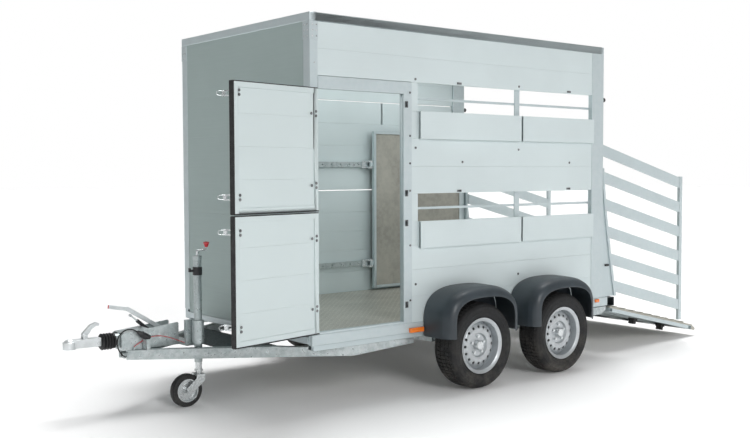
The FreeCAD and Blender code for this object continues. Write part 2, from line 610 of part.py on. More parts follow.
def rear_end():
    """Header, bumper beam and curved side fairings behind the rear posts."""
    header = section(2650, BODY_LENGTH - 4, -735.5, 735.5, 2205, ROOF_RAIL_LOW, 4, "y")
    bumper = section(2800, 2880, -HALF_WIDTH - 4, HALF_WIDTH + 4, 358, 424, 4, "y")
    add("rear_frame", [header, bumper])
    bracket = plate_xz([(2630, 300), (2740, 300), (2795, 331), (2795, 357), (2630, 357)], -760, -737)
    add("rear_frame", both_sides([bracket]))
    curve = []
    steps = 12
    for i in range(steps + 1):
        t = i / steps
        curve.append((2738 + 158 * (1 - t) ** 1.35, 432 + t * 990))
    web = [(2737, 432)] + curve
    plate = plate_xz(web, -762, -757)
    edge_out = [(x + 14, z) for x, z in curve]
    edge_in = [(x - 10 if x - 10 > 2738 else 2738, z) for x, z in curve]
    trim = plate_xz(edge_out + edge_in[::-1], -HALF_WIDTH - 3, -738)
    trim = trim.cut(plate)
    add("rear_fairings", both_sides([plate, trim]))


FLAP_BEAD = 1.3              # hinge bead along the foot of a shutter


def flaps():
    """Shutters: hanging open below the near slots, shut in the off-side slots."""
    for level, (z0, z1) in SLOTS.items():
        height = z1 - z0 - 8
        axis_y, axis_z = HALF_WIDTH + 1, z0 + 1
        hanging = []
        shut = []
        for x0, x1 in FLAP_SPANS:
            board = section(x0, x1, -axis_y - 24, -axis_y, axis_z - height, axis_z, 2, "x")
            hanging.append(board.fuse(rod((x0, -axis_y, axis_z), (x1, -axis_y, axis_z), FLAP_BEAD)))
            board = section(x0, x1, axis_y - 24, axis_y, axis_z, axis_z + height, 2, "x")
            shut.append(board.fuse(rod((x0, axis_y, axis_z), (x1, axis_y, axis_z), FLAP_BEAD)))
        add("left_" + level + "_flaps", hanging)
        add("right_" + level + "_flaps", shut)


# ---------------------------------------------------------------- side door
HINGE = (28.0, -790.0)       # hinge line of both leaves, from the front wall
LEAF_X0, LEAF_X1 = 62.0, 714.0
LEAF_OUT, LEAF_IN = -774.0, -742.0
LATCH_AXIS = (672.0, -786.0)


def leaf_pieces(z0, z1):
    """A closed leaf: edge frame, infill panel, hinge straps and latch bases."""
    rim = 34.0
    frame = four_bars(LEAF_X0, LEAF_X1, LEAF_OUT, LEAF_IN, z0, z1, rim, 2.5)
    panel = section(LEAF_X0 + rim, LEAF_X1 - rim, LEAF_OUT + 4, LEAF_IN - 4,
                    z0 + rim, z1 - rim, 2, "x")
    straps = []
    for z in (z0 + 150, z1 - 150):
        strap = box(HINGE[0], LEAF_X0 + 120, LEAF_OUT - 6, LEAF_OUT, z - 18, z + 18)
        knuckle = rod((HINGE[0], HINGE[1], z - 18), (HINGE[0], HINGE[1], z + 18), 11)
        web = box(HINGE[0] - 3, HINGE[0] + 14, HINGE[1], LEAF_OUT, z - 18, z + 18)
        bore = rod((HINGE[0], HINGE[1], z - 30), (HINGE[0], HINGE[1], z + 30), 6.05)
        straps.append(strap.fuse(knuckle).fuse(web).cut(bore))
    bases = []
    for z in latch_heights(z0, z1):
        base = box(LATCH_AXIS[0] - 22, LATCH_AXIS[0] + 22, LEAF_OUT - 4, LEAF_OUT, z - 26, z + 26)
        pin = rod((LATCH_AXIS[0], LATCH_AXIS[1], z - 22), (LATCH_AXIS[0], LATCH_AXIS[1], z + 22), 4)
        ears = [box(LATCH_AXIS[0] - 7, LATCH_AXIS[0] + 7, LATCH_AXIS[1] - 6, LEAF_OUT - 4, a, a + 4)
                for a in (z - 22, z + 18)]
        bases += [base.fuse(ears[0]).fuse(ears[1]).fuse(pin)]
    return frame + straps + bases, [panel]


def latch_heights(z0, z1):
    return (z0 + 92, z1 - 62) if z0 > 1000 else (z0 + 100, z1 - 90)


def latch_levers(z0, z1):
    """Over-centre levers with wire bails, standing out from the closed leaf."""
    out = []
    for z in latch_heights(z0, z1):
        x, y = LATCH_AXIS
        lever = box(x - 5, x + 5, y - 88, y + 5, z - 17, z + 17)
        lever = lever.cut(box(x - 10, x + 10, y - 60, y - 12, z - 9, z + 9))
        lever = lever.cut(rod((x, y, z - 20), (x, y, z + 20), 4.06))
        out.append(lever)
    return out


def doors():
    turn = -DOOR_OPEN_ANGLE
    centre = (HINGE[0], HINGE[1], 0)
    for name, z0, z1 in (("upper", DOOR_SPLIT + 4, DOOR_Z1 - 4), ("lower", DOOR_Z0 + 4, DOOR_SPLIT - 4)):
        frame, panel = leaf_pieces(z0, z1)
        add(name + "_door_frame", [turned(s, centre, (0, 0, 1), turn) for s in frame])
        add(name + "_door_panel", [turned(s, centre, (0, 0, 1), turn) for s in panel])
        levers = latch_levers(z0, z1)
        add(name + "_door_latches", [turned(s, centre, (0, 0, 1), turn) for s in levers])
        for z in (z0 + 150, z1 - 150):
            pin = rod((HINGE[0], HINGE[1], z - 36), (HINGE[0], HINGE[1], z + 36), 6)
            lugs = []
            for a in (z - 36, z + 19):
                lug = rod((HINGE[0], HINGE[1], a), (HINGE[0], HINGE[1], a + 17), 10.5)
                lug = lug.fuse(box(HINGE[0] - 26, HINGE[0], HINGE[1] + 4, -HALF_WIDTH - 2, a, a + 17))
                lugs.append(lug)
            add("door_frame", [pin.fuse(lugs[0]).fuse(lugs[1])])


# ---------------------------------------------------------------- ramp and gates
def ramp():
    """Ramp built level from its hinge line, then lowered by its slope."""
    x, z = RAMP_HINGE
    top = z + 17
    start, end = x + 22, x + RAMP_LENGTH - 60
    ribs = [section(start + 40, end - 40, y - 20, y + 20, top - 42, top - 12, 3, "x")
            for y in (-RAMP_HALF + 20, -330, 0, 330, RAMP_HALF - 20)]
    ribs += [section(a, a + 40, -RAMP_HALF, RAMP_HALF, top - 42, top - 12, 3, "y")
             for a in (start, end - 40)]
    nose = plate_xz([(x + RAMP_LENGTH - 60, top - 42), (x + RAMP_LENGTH - 60, top),
                     (x + RAMP_LENGTH - 8, top - 20), (x + RAMP_LENGTH, top - 32),
                     (x + RAMP_LENGTH - 8, top - 42)], -RAMP_HALF, RAMP_HALF)
    sleeves = []
    for y in (-560, -60, 440):
        knuckle = pipe((x, y, z), (x, y + 120, z), 15, 9.06)
        tab = box(x + 12, x + 22, y, y + 120, top - 42, top - 14)
        sleeves.append(knuckle.fuse(tab))
    feet = []
    for along in (540, 935):
        for y in (-560, 500):
            feet.append(box(x + along, x + along + 50, y, y + 60, top - 62, top - 42))
            feet.append(box(x + along + 4, x + along + 40, y + 6, y + 54, top - 90, top - 62))
    deck = box(x + 22, x + RAMP_LENGTH - 60, -RAMP_HALF, RAMP_HALF, top - 12, top)
    cleats = [box(x + 110 + 118 * i, x + 135 + 118 * i, -RAMP_HALF + 12, RAMP_HALF - 12, top, top + 12)
              for i in range(9)]
    centre = (x, 0, z)
    metal = ribs + sleeves + feet
    add("ramp_frame", [turned(s, centre, (0, 1, 0), RAMP_SLOPE) for s in metal])
    boards = [deck, nose] + cleats
    add("ramp_boards", [turned(s, centre, (0, 1, 0), RAMP_SLOPE) for s in boards])
    for y in (-640, -430, -140, 70, 360, 570):
        lug = box(2880, x, y, y + 60, z - 12, z + 12).fuse(rod((x, y, z), (x, y + 60, z), 15))
        lug = lug.fuse(box(2850, 2880, y, y + 60, z - 12, 358))
        lug = lug.cut(rod((x, y - 5, z), (x, y + 65, z), 9))
        add("rear_frame", [lug])
    add("rear_frame", [rod((x, -645, z), (x, 635, z), 9)])


GATE_PIN = (2752.0, -722.0)
SLATS = 6
SLAT_TOP = 1611.0            # top slat's upper edge at the stile
SLAT_PITCH = 204.5
SLAT_WIDTH = 84.0
SLAT_SLOPE = 14.2            # degrees below level
GATE_END = 3845.0


def gate_side():
    """Near gate: stile on its hinge pins, six slats falling to the rear, end post."""
    drop = math.tan(math.radians(SLAT_SLOPE))
    pieces = [rod((GATE_PIN[0], GATE_PIN[1], 458), (GATE_PIN[0], GATE_PIN[1], 1630), 12)]
    x0 = GATE_PIN[0] + 10
    run = GATE_END - 26 - x0
    for i in range(SLATS):
        top = SLAT_TOP - i * SLAT_PITCH
        outline = [(x0, top), (x0 + run, top - run * drop), (x0 + run, top - run * drop - SLAT_WIDTH),
                   (x0, top - SLAT_WIDTH)]
        core = [(x0 - 20, top - 3), (x0 + run + 20, top - (run + 40) * drop - 3),
                (x0 + run + 20, top - (run + 40) * drop - SLAT_WIDTH + 3),
                (x0 - 20, top - SLAT_WIDTH + 3)]
        core = [(px, pz + 20 * drop) for px, pz in core]
        pieces.append(plate_xz(outline, -724, -706).cut(plate_xz(core, -721.5, -708.5)))
    post = box(GATE_END - 26, GATE_END + 10, -727, -703, 150, 1352)
    return pieces + [post]


def gates():
    pieces = gate_side()
    stile = pieces[0]
    slats = [s.cut(stile) for s in pieces[1:-1]]
    left = [stile.fuse(slats[0])] + slats[1:] + [pieces[-1]]
    add("gate_left", left)
    add("gate_right", [mirror(s) for s in left])
    for z, top in ((446, 457.5), (1630.5, 1644)):
        bracket = box(2737, GATE_PIN[0], -744, -712, z, top)
        knuckle = rod((GATE_PIN[0], GATE_PIN[1], z), (GATE_PIN[0], GATE_PIN[1], top), 13)
        add("rear_frame", both_sides([bracket.fuse(knuckle)]))


# ---------------------------------------------------------------- interior
RAIL_PADS = (210.0, 930.0, 1560.0, 2280.0)
RAIL_Z = {"lower": (642.0, 682.0), "upper": (1439.0, 1479.0)}
DIVIDER_PIN = (1642.0, 690.0)
DIVIDER_X = (1664.0, 2640.0)
DIVIDER_Z = (458.0, 1727.0)
DIVIDER_RIM = 22.0


def interior():
    for z0, z1 in RAIL_Z.values():
        rail = box(150, 2560, 723.4, 735.4, z0, z1)
        holes = []
        for i in range(27):
            hx = 190 + i * 90
            holes.append(rod((hx, 715, (z0 + z1) / 2), (hx, 740, (z0 + z1) / 2), 6))
        pads = [box(px, px + 40, 735.4, WALL_IN, z0 + 4, z1 - 4) for px in RAIL_PADS]
        add("divider_rails", [rail.cut(Part.makeCompound(holes))] + pads)
    x, y = DIVIDER_PIN
    frame = four_bars(DIVIDER_X[0], DIVIDER_X[1], y - 15, y + 15, *DIVIDER_Z, DIVIDER_RIM, 2.5)
    panel = box(DIVIDER_X[0] + DIVIDER_RIM, DIVIDER_X[1] - DIVIDER_RIM, y - 8, y + 8,
                DIVIDER_Z[0] + DIVIDER_RIM, DIVIDER_Z[1] - DIVIDER_RIM)
    eyes = []
    for z0, z1 in RAIL_Z.values():
        middle = (z0 + z1) / 2
        eye = rod((x, y, middle - 16), (x, y, middle + 16), 13)
        eye = eye.fuse(box(x, DIVIDER_X[0], y - 6, y + 6, middle - 16, middle + 16))
        eyes.append(eye.cut(rod((x, y, middle - 40), (x, y, middle + 40), 7.06)))
        pin = rod((x, y, middle - 34), (x, y, middle + 34), 7)
        arms = []
        for a in (middle - 30, middle + 18):
            arms.append(box(x - 30, x + 12, y - 10, 718, a, a + 12))
        shoe = box(x - 70, x + 30, 714, 723, middle - 30, middle + 30)
        add("divider_carriage", [pin.fuse(arms[0]).fuse(arms[1]).fuse(shoe)])
    add("divider", frame + [panel] + eyes)


# ---------------------------------------------------------------- small pieces
def fasteners():
    """Screw heads on walls and jamb, keepers for the latches, catches for the flaps."""
    heads = []
    wall_spots = [(824, 1988), (1793, 1991), (825, 1551), (1791, 1551), (1243, 1462),
                  (824, 675), (1790, 677), (2340, 1462)]
    for x, z in wall_spots:
        heads.append(rod((x, -HALF_WIDTH - 4, z), (x, -HALF_WIDTH, z), 8))
    for x, z in wall_spots:
        heads.append(rod((x, HALF_WIDTH, z), (x, HALF_WIDTH + 4, z), 8))
    for z in (575, 928, 1277, 1452, 1626, 1900):
        heads.append(rod((774, -HALF_WIDTH - 8, z), (774, -HALF_WIDTH - 4, z), 7))
    add("wall_fasteners", heads)
    keepers = []
    for z0, z1 in ((DOOR_SPLIT + 4, DOOR_Z1 - 4), (DOOR_Z0 + 4, DOOR_SPLIT - 4)):
        for z in latch_heights(z0, z1):
            plate = box(733, 757, -HALF_WIDTH - 7, -HALF_WIDTH - 4, z - 20, z + 20)
            hook = box(739, 745, -HALF_WIDTH - 20, -HALF_WIDTH - 7, z - 14, z + 14)
            keepers.append(plate.fuse(hook))
    add("wall_fasteners", keepers)
    for z0, z1 in SLOTS.values():
        for x in (1212, 2330):
            tab = box(x - 20, x + 20, -HALF_WIDTH - 4, -HALF_WIDTH, z1 + 6, z1 + 20)
            add("wall_fasteners", both_sides([tab]))


def lamps():
    marker = box(762, 878, -HALF_WIDTH - 24, -HALF_WIDTH - 4.2, 367, 397)
    add("marker_lamps", both_sides([marker]))
    rear_marker = box(2640, 2690, -HALF_WIDTH - 14, -HALF_WIDTH - 4.2, 400, 424)
    add("marker_lamps", both_sides([rear_marker]))
    round_lamp = rod((BODY_LENGTH, -753, 1940), (BODY_LENGTH + 28, -753, 1940), 17)
    add("marker_lamps", both_sides([round_lamp]))
    for side in (-1, 1):
        y = side * 767
        body_block = box(2772, 2815, y - 9 * side, y + 9 * side, 668, 684)
        add("marker_lamps", [body_block.cut(box(2700, 2900, side * 740, side * 763, 600, 700))])


PLUG = ((-785.0, -92.0, 452.0), (-700.0, -100.0, 398.0))
LEAD = 8.0
LEAD_ROUTE = [(-857, -88, 314), (-872, -114, 314), (-894, -129, 324), (-913, -130, 345),
              (-925, -123, 372), (-926, -114, 402), (-915, -104, 432), (-891, -96, 456),
              (-861, -91, 470), (-830, -89.5, 471.5), (-803.5, -90.2, 463.8), (-785, -92, 452)]
CABLE = 4.0
CABLE_ROUTE = [(-800, -74, 362), (-762, -73, 384), (-712, -74, 406), (-655, -78, 414),
               (-598, -88, 404), (-545, -110, 384), (-500, -140, 362)]


def plug_and_leads():
    a, b = PLUG
    start, end = v(FRONT + a[0], a[1], a[2]), v(FRONT + b[0], b[1], b[2])
    along = (end - start).normalize()
    shell = Part.makeCone(9, 16, 30, start, along)
    shell = shell.fuse(Part.makeCylinder(19, 55, start + along * 30, along))
    add("lead_plug", [shell])
    seat = Part.makeCylinder(19.3, 80, start + along * 20, along)
    cradle = box(-742, -718, -124, -76, 341.8, 404).cut(seat)
    add("drawbar_fittings", [cradle])
    start = LEAD_ROUTE[0]
    bracket = box(start[0] - 11, DRAW_FRONT[0] - 0.2, -79, -54, 300, 328)
    gland = rod((start[0] + 7.5, start[1] + 13, start[2]), start, 9).cut(bracket)
    add("drawbar_fittings", [bracket, gland])
    first, last = CABLE_ROUTE[0], CABLE_ROUTE[-1]
    under = CABLE / 2 + 0.1
    add("drawbar_fittings", [rod((first[0], first[1], 342.5), (first[0], first[1], first[2] - under), 5)])
    add("drawbar_fittings", [box(last[0] - 6, last[0] + 3, last[1] - 6, last[1] + 6, 350, last[2] - under)])
    add("electrical_lead", [cord("electrical_lead", LEAD_ROUTE, LEAD)])
    add("breakaway_cable", [cord("breakaway_cable", CABLE_ROUTE, CABLE)])


# ---------------------------------------------------------------- assembly
def build():
    chassis_frame()
    drawbar()
    overrun_housing()
    bellows()
    coupling()
    coupling_handle()
    handbrake()
    strut()
    jockey()
    running_gear()
    body()
    rear_end()
    flaps()
    doors()
    ramp()
    gates()
    interior()
    fasteners()
    lamps()
    plug_and_leads()


def export():
    for name, solids in nodes.items():
        shape = Part.makeCompound(solids) if len(solids) > 1 else solids[0]
        shape.translate(DOWN)
        shape.exportStep("parts/" + name + ".step")
    print(len(nodes), "nodes,", sum(len(s) for s in nodes.values()), "solids")


build()
export()
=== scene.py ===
import json
import math

import bpy
from bpy.props import FloatProperty, FloatVectorProperty, IntProperty, PointerProperty
from mathutils import Matrix, Vector

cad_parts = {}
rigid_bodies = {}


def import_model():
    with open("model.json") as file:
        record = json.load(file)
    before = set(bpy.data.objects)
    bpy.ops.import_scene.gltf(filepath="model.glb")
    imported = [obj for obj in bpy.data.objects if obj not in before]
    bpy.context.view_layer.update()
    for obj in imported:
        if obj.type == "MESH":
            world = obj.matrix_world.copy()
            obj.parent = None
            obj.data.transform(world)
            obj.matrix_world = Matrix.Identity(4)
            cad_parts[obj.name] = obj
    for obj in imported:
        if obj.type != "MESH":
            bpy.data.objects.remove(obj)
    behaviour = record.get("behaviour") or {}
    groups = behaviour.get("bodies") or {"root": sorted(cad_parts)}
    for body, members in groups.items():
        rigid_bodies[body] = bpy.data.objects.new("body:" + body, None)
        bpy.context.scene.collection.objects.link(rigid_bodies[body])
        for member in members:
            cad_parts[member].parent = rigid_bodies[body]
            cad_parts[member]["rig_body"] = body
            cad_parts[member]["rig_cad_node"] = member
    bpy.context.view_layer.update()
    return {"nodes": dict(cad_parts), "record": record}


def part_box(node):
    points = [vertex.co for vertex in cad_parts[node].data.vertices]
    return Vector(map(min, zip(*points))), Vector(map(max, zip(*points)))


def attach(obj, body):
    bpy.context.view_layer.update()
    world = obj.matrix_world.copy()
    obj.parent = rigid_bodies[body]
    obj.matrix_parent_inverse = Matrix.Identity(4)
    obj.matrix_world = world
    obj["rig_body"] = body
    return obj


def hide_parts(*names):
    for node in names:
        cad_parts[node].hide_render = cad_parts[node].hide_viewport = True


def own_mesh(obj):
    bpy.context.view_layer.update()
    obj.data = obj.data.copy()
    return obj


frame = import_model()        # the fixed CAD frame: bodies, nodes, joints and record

bl_info = {
    "name": "Livestock trailer",
    "version": (1, 0, 0),
    "blender": (4, 5, 0),
    "location": "View3D > Sidebar > Trailer",
    "description": "Builds the finished pieces and materials of a livestock trailer",
    "category": "Object",
}

BODIES = frame["record"]["behaviour"]["bodies"]
BODY_OF = {node: body for body, members in BODIES.items() for node in members}

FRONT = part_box("front_wall")[0].x            # outer face of the front wall
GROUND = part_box("tyre_front_left")[0].z
RAIL_TOP = 2.335                             # top of the roof rails over the datum
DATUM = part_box("roof_rails")[1].z - RAIL_TOP


def place(x, y, z):
    """A point from its distance behind the front wall, off the centreline and over the datum."""
    return Vector((FRONT + x, y, DATUM + z))


# ------------------------------------------------------------------ sizes and colours
def length(label, note, default):
    """A length in metres that a user may change."""
    return FloatProperty(name=label, description=note, default=default, min=0.0, unit="LENGTH")


def colour(label, note, default):
    """A base colour that a user may change."""
    return FloatVectorProperty(name=label, description=note, default=default, min=0.0, max=1.0,
                               subtype="COLOR")


class TrailerSizes(bpy.types.PropertyGroup):
    """Sizes of edges, grooves, tread and trim."""

    plank_edge: length("Plank edge", "Bevel along each plank joint", 0.0022)
    profile_edge: length("Profile edge", "Rounding of extruded profiles", 0.003)
    folded_edge: length("Folded edge", "Rounding of folded steel members", 0.005)
    small_edge: length("Small edge", "Rounding of brackets and small parts", 0.0012)
    tread_depth: length("Tread depth", "Height of the tread blocks", 0.0078)
    tread_pitches: IntProperty(name="Tread pitches", description="Blocks round a tyre", default=64,
                               min=12, max=120)
    seal_width: length("Seal width", "Width of the rubber seal on a door leaf", 0.009)
    wire: length("Wire", "Diameter of the latch bails", 0.004)


class TrailerColours(bpy.types.PropertyGroup):
    """Base colours of the finishes."""

    side_panel: colour("Side panel", "Side wall planks and shutters", (0.66, 0.74, 0.75))
    # The front wall has the same planks as the side walls; this darker colour is painted shade for
    # the front wall.
    front_panel: colour("Front panel", "Front wall planks", (0.41, 0.50, 0.49))
    door_panel: colour("Door panel", "Inside of the door leaves", (0.64, 0.72, 0.725))
    profile: colour("Profile", "Anodised aluminium profiles", (0.56, 0.64, 0.66))
    zinc: colour("Zinc", "Hot-dip galvanised steel", (0.40, 0.45, 0.455))
    bright_zinc: colour("Bright zinc", "Zinc plated small parts", (0.70, 0.73, 0.74))
    guard: colour("Mudguard", "Moulded mudguards", (0.036, 0.048, 0.058))
    tyre: colour("Tyre", "Tyre rubber", (0.009, 0.0095, 0.0105))
    rim: colour("Rim", "Silver wheel paint", (0.52, 0.55, 0.57))
    board: colour("Board", "Divider infill board", (0.36, 0.35, 0.31))
    floor_plate: colour("Floor plate", "Tread plate of the floor", (0.46, 0.45, 0.40))
    amber: colour("Amber", "Side marker lenses", (0.85, 0.20, 0.02))
    red: colour("Red", "Knob, lever tip and breakaway cable", (0.62, 0.02, 0.03))
    studio: colour("Studio floor", "Pale studio floor", (0.93, 0.93, 0.93))


def sizes():
    return bpy.context.scene.trailer_sizes


def colours():
    return bpy.context.scene.trailer_colours


# ------------------------------------------------------------------ shader groups
def put(tree, kind, inputs=None, **settings):
    """A shader node; each input is a plain value or another node's output."""
    node = tree.nodes.new(kind)
    for key, value in settings.items():
        setattr(node, key, value)
    for key, value in (inputs or {}).items():
        if isinstance(value, bpy.types.NodeSocket):
            tree.links.new(value, node.inputs[key])
        else:
            node.inputs[key].default_value = value
    return node


def maths(tree, operation, first, second=0.0, clamp=False):
    """One Math node's output."""
    return put(tree, "ShaderNodeMath", {0: first, 1: second}, operation=operation,
               use_clamp=clamp).outputs[0]


def stretch(tree, value, low, high, to_low=0.0, to_high=1.0):
    """A value mapped smoothly from one range to another."""
    return put(tree, "ShaderNodeMapRange", {"Value": value, "From Min": low, "From Max": high,
               "To Min": to_low, "To Max": to_high}, interpolation_type="SMOOTHSTEP").outputs[0]


def shader_group(name, inputs, outputs):
    """An empty node group with named sockets; returns its tree, its input and its output node."""
    tree = bpy.data.node_groups.new(name, "ShaderNodeTree")
    for label, default in inputs:
        kind = "NodeSocketVector" if isinstance(default, tuple) else "NodeSocketFloat"
        socket = tree.interface.new_socket(label, in_out="INPUT", socket_type=kind)
        socket.default_value = default
    for label in outputs:
        tree.interface.new_socket(label, in_out="OUTPUT", socket_type="NodeSocketFloat")
    return tree, tree.nodes.new("NodeGroupInput"), tree.nodes.new("NodeGroupOutput")


def grain_group():
    """Fine grain, stretched by its scale, with a broad cloudy tone and a height."""
    tree, given, out = shader_group("Surface grain", [("Scale", (40.0, 40.0, 40.0)),
                                                      ("Cloud", 3.0)], ["Fine", "Tone"])
    where = put(tree, "ShaderNodeTexCoord").outputs["Object"]
    scaled = put(tree, "ShaderNodeVectorMath", {0: where, 1: given.outputs["Scale"]},
                 operation="MULTIPLY").outputs[0]
    fine = put(tree, "ShaderNodeTexNoise", {"Vector": scaled, "Scale": 1.0, "Detail": 5.0,
                                            "Roughness": 0.6})
    cloud = put(tree, "ShaderNodeTexNoise", {"Vector": where, "Scale": given.outputs["Cloud"],
                                             "Detail": 3.0, "Roughness": 0.55})
    tree.links.new(fine.outputs[0], out.inputs["Fine"])
    tree.links.new(cloud.outputs[0], out.inputs["Tone"])
    return tree


def spangle_group():
    """Zinc crystals of two sizes on hot-dipped steel."""
    tree, given, out = shader_group("Zinc spangle", [("Size", 70.0)], ["Tone", "Height"])
    where = put(tree, "ShaderNodeTexCoord").outputs["Object"]
    large = put(tree, "ShaderNodeTexVoronoi", {"Vector": where, "Scale": given.outputs["Size"]},
                feature="F1")
    fine_size = maths(tree, "MULTIPLY", given.outputs["Size"], 2.7)
    fine = put(tree, "ShaderNodeTexVoronoi", {"Vector": where, "Scale": fine_size}, feature="F1")
    first = put(tree, "ShaderNodeSeparateColor", {0: large.outputs["Color"]}).outputs[0]
    second = put(tree, "ShaderNodeSeparateColor", {0: fine.outputs["Color"]}).outputs[1]
    mixed = maths(tree, "ADD", maths(tree, "MULTIPLY", first, 0.6),
                  maths(tree, "MULTIPLY", second, 0.4))
    tree.links.new(mixed, out.inputs["Tone"])
    tree.links.new(large.outputs["Distance"], out.inputs["Height"])
    return tree


def wear_group():
    """Rubbed edges, broken up so that the line is not even."""
    tree, given, out = shader_group("Edge wear", [("Amount", 0.5), ("Breakup", 30.0)], ["Mask"])
    edge = put(tree, "ShaderNodeNewGeometry").outputs["Pointiness"]
    where = put(tree, "ShaderNodeTexCoord").outputs["Object"]
    broken = put(tree, "ShaderNodeTexNoise", {"Vector": where, "Scale": given.outputs["Breakup"],
                                              "Detail": 4.0}).outputs[0]
    line = stretch(tree, edge, 0.515, 0.56)
    patch = stretch(tree, broken, 0.38, 0.62)
    worn = maths(tree, "MULTIPLY", maths(tree, "MULTIPLY", line, patch), given.outputs["Amount"],
                 clamp=True)
    tree.links.new(worn, out.inputs["Mask"])
    return tree


def dust_group():
    """Road dust that thins out with height above the ground."""
    tree, given, out = shader_group("Road dust", [("Amount", 0.3), ("Top", 0.4)], ["Mask"])
    where = put(tree, "ShaderNodeTexCoord").outputs["Object"]
    height = put(tree, "ShaderNodeSeparateXYZ", {0: where}).outputs["Z"]
    above = maths(tree, "SUBTRACT", height, GROUND)
    share = maths(tree, "DIVIDE", above, given.outputs["Top"])
    low = maths(tree, "SUBTRACT", 1.0, share, clamp=True)
    spots = put(tree, "ShaderNodeTexNoise", {"Vector": where, "Scale": 9.0, "Detail": 6.0,
                                             "Roughness": 0.65}).outputs[0]
    mask = maths(tree, "MULTIPLY", maths(tree, "MULTIPLY", low, stretch(tree, spots, 0.35, 0.75)),
                 given.outputs["Amount"], clamp=True)
    tree.links.new(mask, out.inputs["Mask"])
    return tree


def tread_plate_group():
    """Raised lozenges laid alternately, as on rolled tread plate; along X and Y."""
    tree, given, out = shader_group("Tread plate", [("Pitch", 0.03)], ["Height"])
    where = put(tree, "ShaderNodeTexCoord").outputs["Object"]
    turned = put(tree, "ShaderNodeMapping", {"Vector": where,
                 "Rotation": (0.0, 0.0, math.radians(45))}).outputs[0]
    axes = put(tree, "ShaderNodeSeparateXYZ", {0: turned})
    cells, offsets = [], []
    for axis in "XY":
        cell = maths(tree, "DIVIDE", axes.outputs[axis], given.outputs["Pitch"])
        cells.append(maths(tree, "FLOOR", cell))
        offsets.append(maths(tree, "SUBTRACT", maths(tree, "FRACT", cell), 0.5))
    parity = maths(tree, "ABSOLUTE", maths(tree, "MODULO", maths(tree, "ADD", *cells), 2.0))
    lengthwise, crosswise = [put(tree, "ShaderNodeMix", {"Factor": parity, "A": offsets[i],
                             "B": offsets[1 - i]}).outputs[0] for i in (0, 1)]
    ring = maths(tree, "SQRT", maths(tree, "ADD",
                 maths(tree, "POWER", maths(tree, "DIVIDE", lengthwise, 0.44), 2.0),
                 maths(tree, "POWER", maths(tree, "DIVIDE", crosswise, 0.15), 2.0)))
    tree.links.new(stretch(tree, ring, 1.0, 0.55), out.inputs["Height"])
    return tree


GROUPS = {"grain": grain_group, "spangle": spangle_group, "wear": wear_group, "dust": dust_group,
          "plate": tread_plate_group}
made_groups = {}


def group(tree, label, **values):
    """A shared shader group placed in a material with its own values."""
    if label not in made_groups:
        made_groups[label] = GROUPS[label]()
    node = tree.nodes.new("ShaderNodeGroup")
    node.node_tree = made_groups[label]
    for key, value in values.items():
        node.inputs[key].default_value = value
    return node


# ------------------------------------------------------------------ materials
def blend(tree, mask, first, second):
    """Two colours mixed by a mask."""
    node = put(tree, "ShaderNodeMix", {"Factor": mask}, data_type="RGBA")
    for index, value in ((6, first), (7, second)):
        if isinstance(value, bpy.types.NodeSocket):
            tree.links.new(value, node.inputs[index])
        else:
            node.inputs[index].default_value = (*value, 1.0)
    return node.outputs[2]


def shade(base, share):
    """A colour made lighter or darker."""
    return tuple(min(1.0, channel * share) for channel in base)


def surface(name, base, roughness, metallic=0.0, grain=(60.0, 60.0, 60.0), cloud=3.0, tone=0.06,
            relief=0.0, gloss_spread=0.1, dust=0.12, wear=0.0, worn=(0.75, 0.77, 0.78),
            spangle=0.0, coat=0.0, plate=0.0):
    """A finish with grain, cloudy tone, dust and worn edges, from the shared groups."""
    material = bpy.data.materials.new(name)
    material.use_nodes = True
    tree = material.node_tree
    shader = tree.nodes["Principled BSDF"]
    grains = group(tree, "grain", Scale=grain, Cloud=cloud)
    tint = blend(tree, stretch(tree, grains.outputs["Tone"], 0.3, 0.7), shade(base, 1 - tone),
                 shade(base, 1 + tone))
    gloss = stretch(tree, grains.outputs["Fine"], 0.3, 0.7, max(0.02, roughness - gloss_spread),
                    min(1.0, roughness + gloss_spread))
    height = grains.outputs["Fine"]
    if spangle:
        zinc = group(tree, "spangle", Size=spangle)
        tint = blend(tree, maths(tree, "MULTIPLY", zinc.outputs["Tone"], 0.55), tint,
                     shade(base, 1.45))
        gloss = maths(tree, "ADD", gloss, maths(tree, "MULTIPLY", zinc.outputs["Tone"], -0.16))
    if plate:
        lozenge = group(tree, "plate", Pitch=plate).outputs["Height"]
        height = maths(tree, "ADD", maths(tree, "MULTIPLY", height, 0.12), lozenge)
        tint = blend(tree, maths(tree, "MULTIPLY", lozenge, 0.7), tint, shade(base, 1.6))
    if wear:
        rubbed = group(tree, "wear", Amount=wear).outputs["Mask"]
        tint = blend(tree, rubbed, tint, worn)
    if dust:
        film = group(tree, "dust", Amount=dust).outputs["Mask"]
        tint = blend(tree, film, tint, (0.33, 0.30, 0.26))
        gloss = maths(tree, "ADD", gloss, maths(tree, "MULTIPLY", film, 0.3), clamp=True)
    tree.links.new(tint, shader.inputs["Base Color"])
    tree.links.new(gloss, shader.inputs["Roughness"])
    shader.inputs["Metallic"].default_value = metallic
    shader.inputs["Coat Weight"].default_value = coat
    if relief:
        bump = put(tree, "ShaderNodeBump", {"Height": height, "Strength": 0.8, "Distance": relief})
        tree.links.new(bump.outputs[0], shader.inputs["Normal"])
    return material


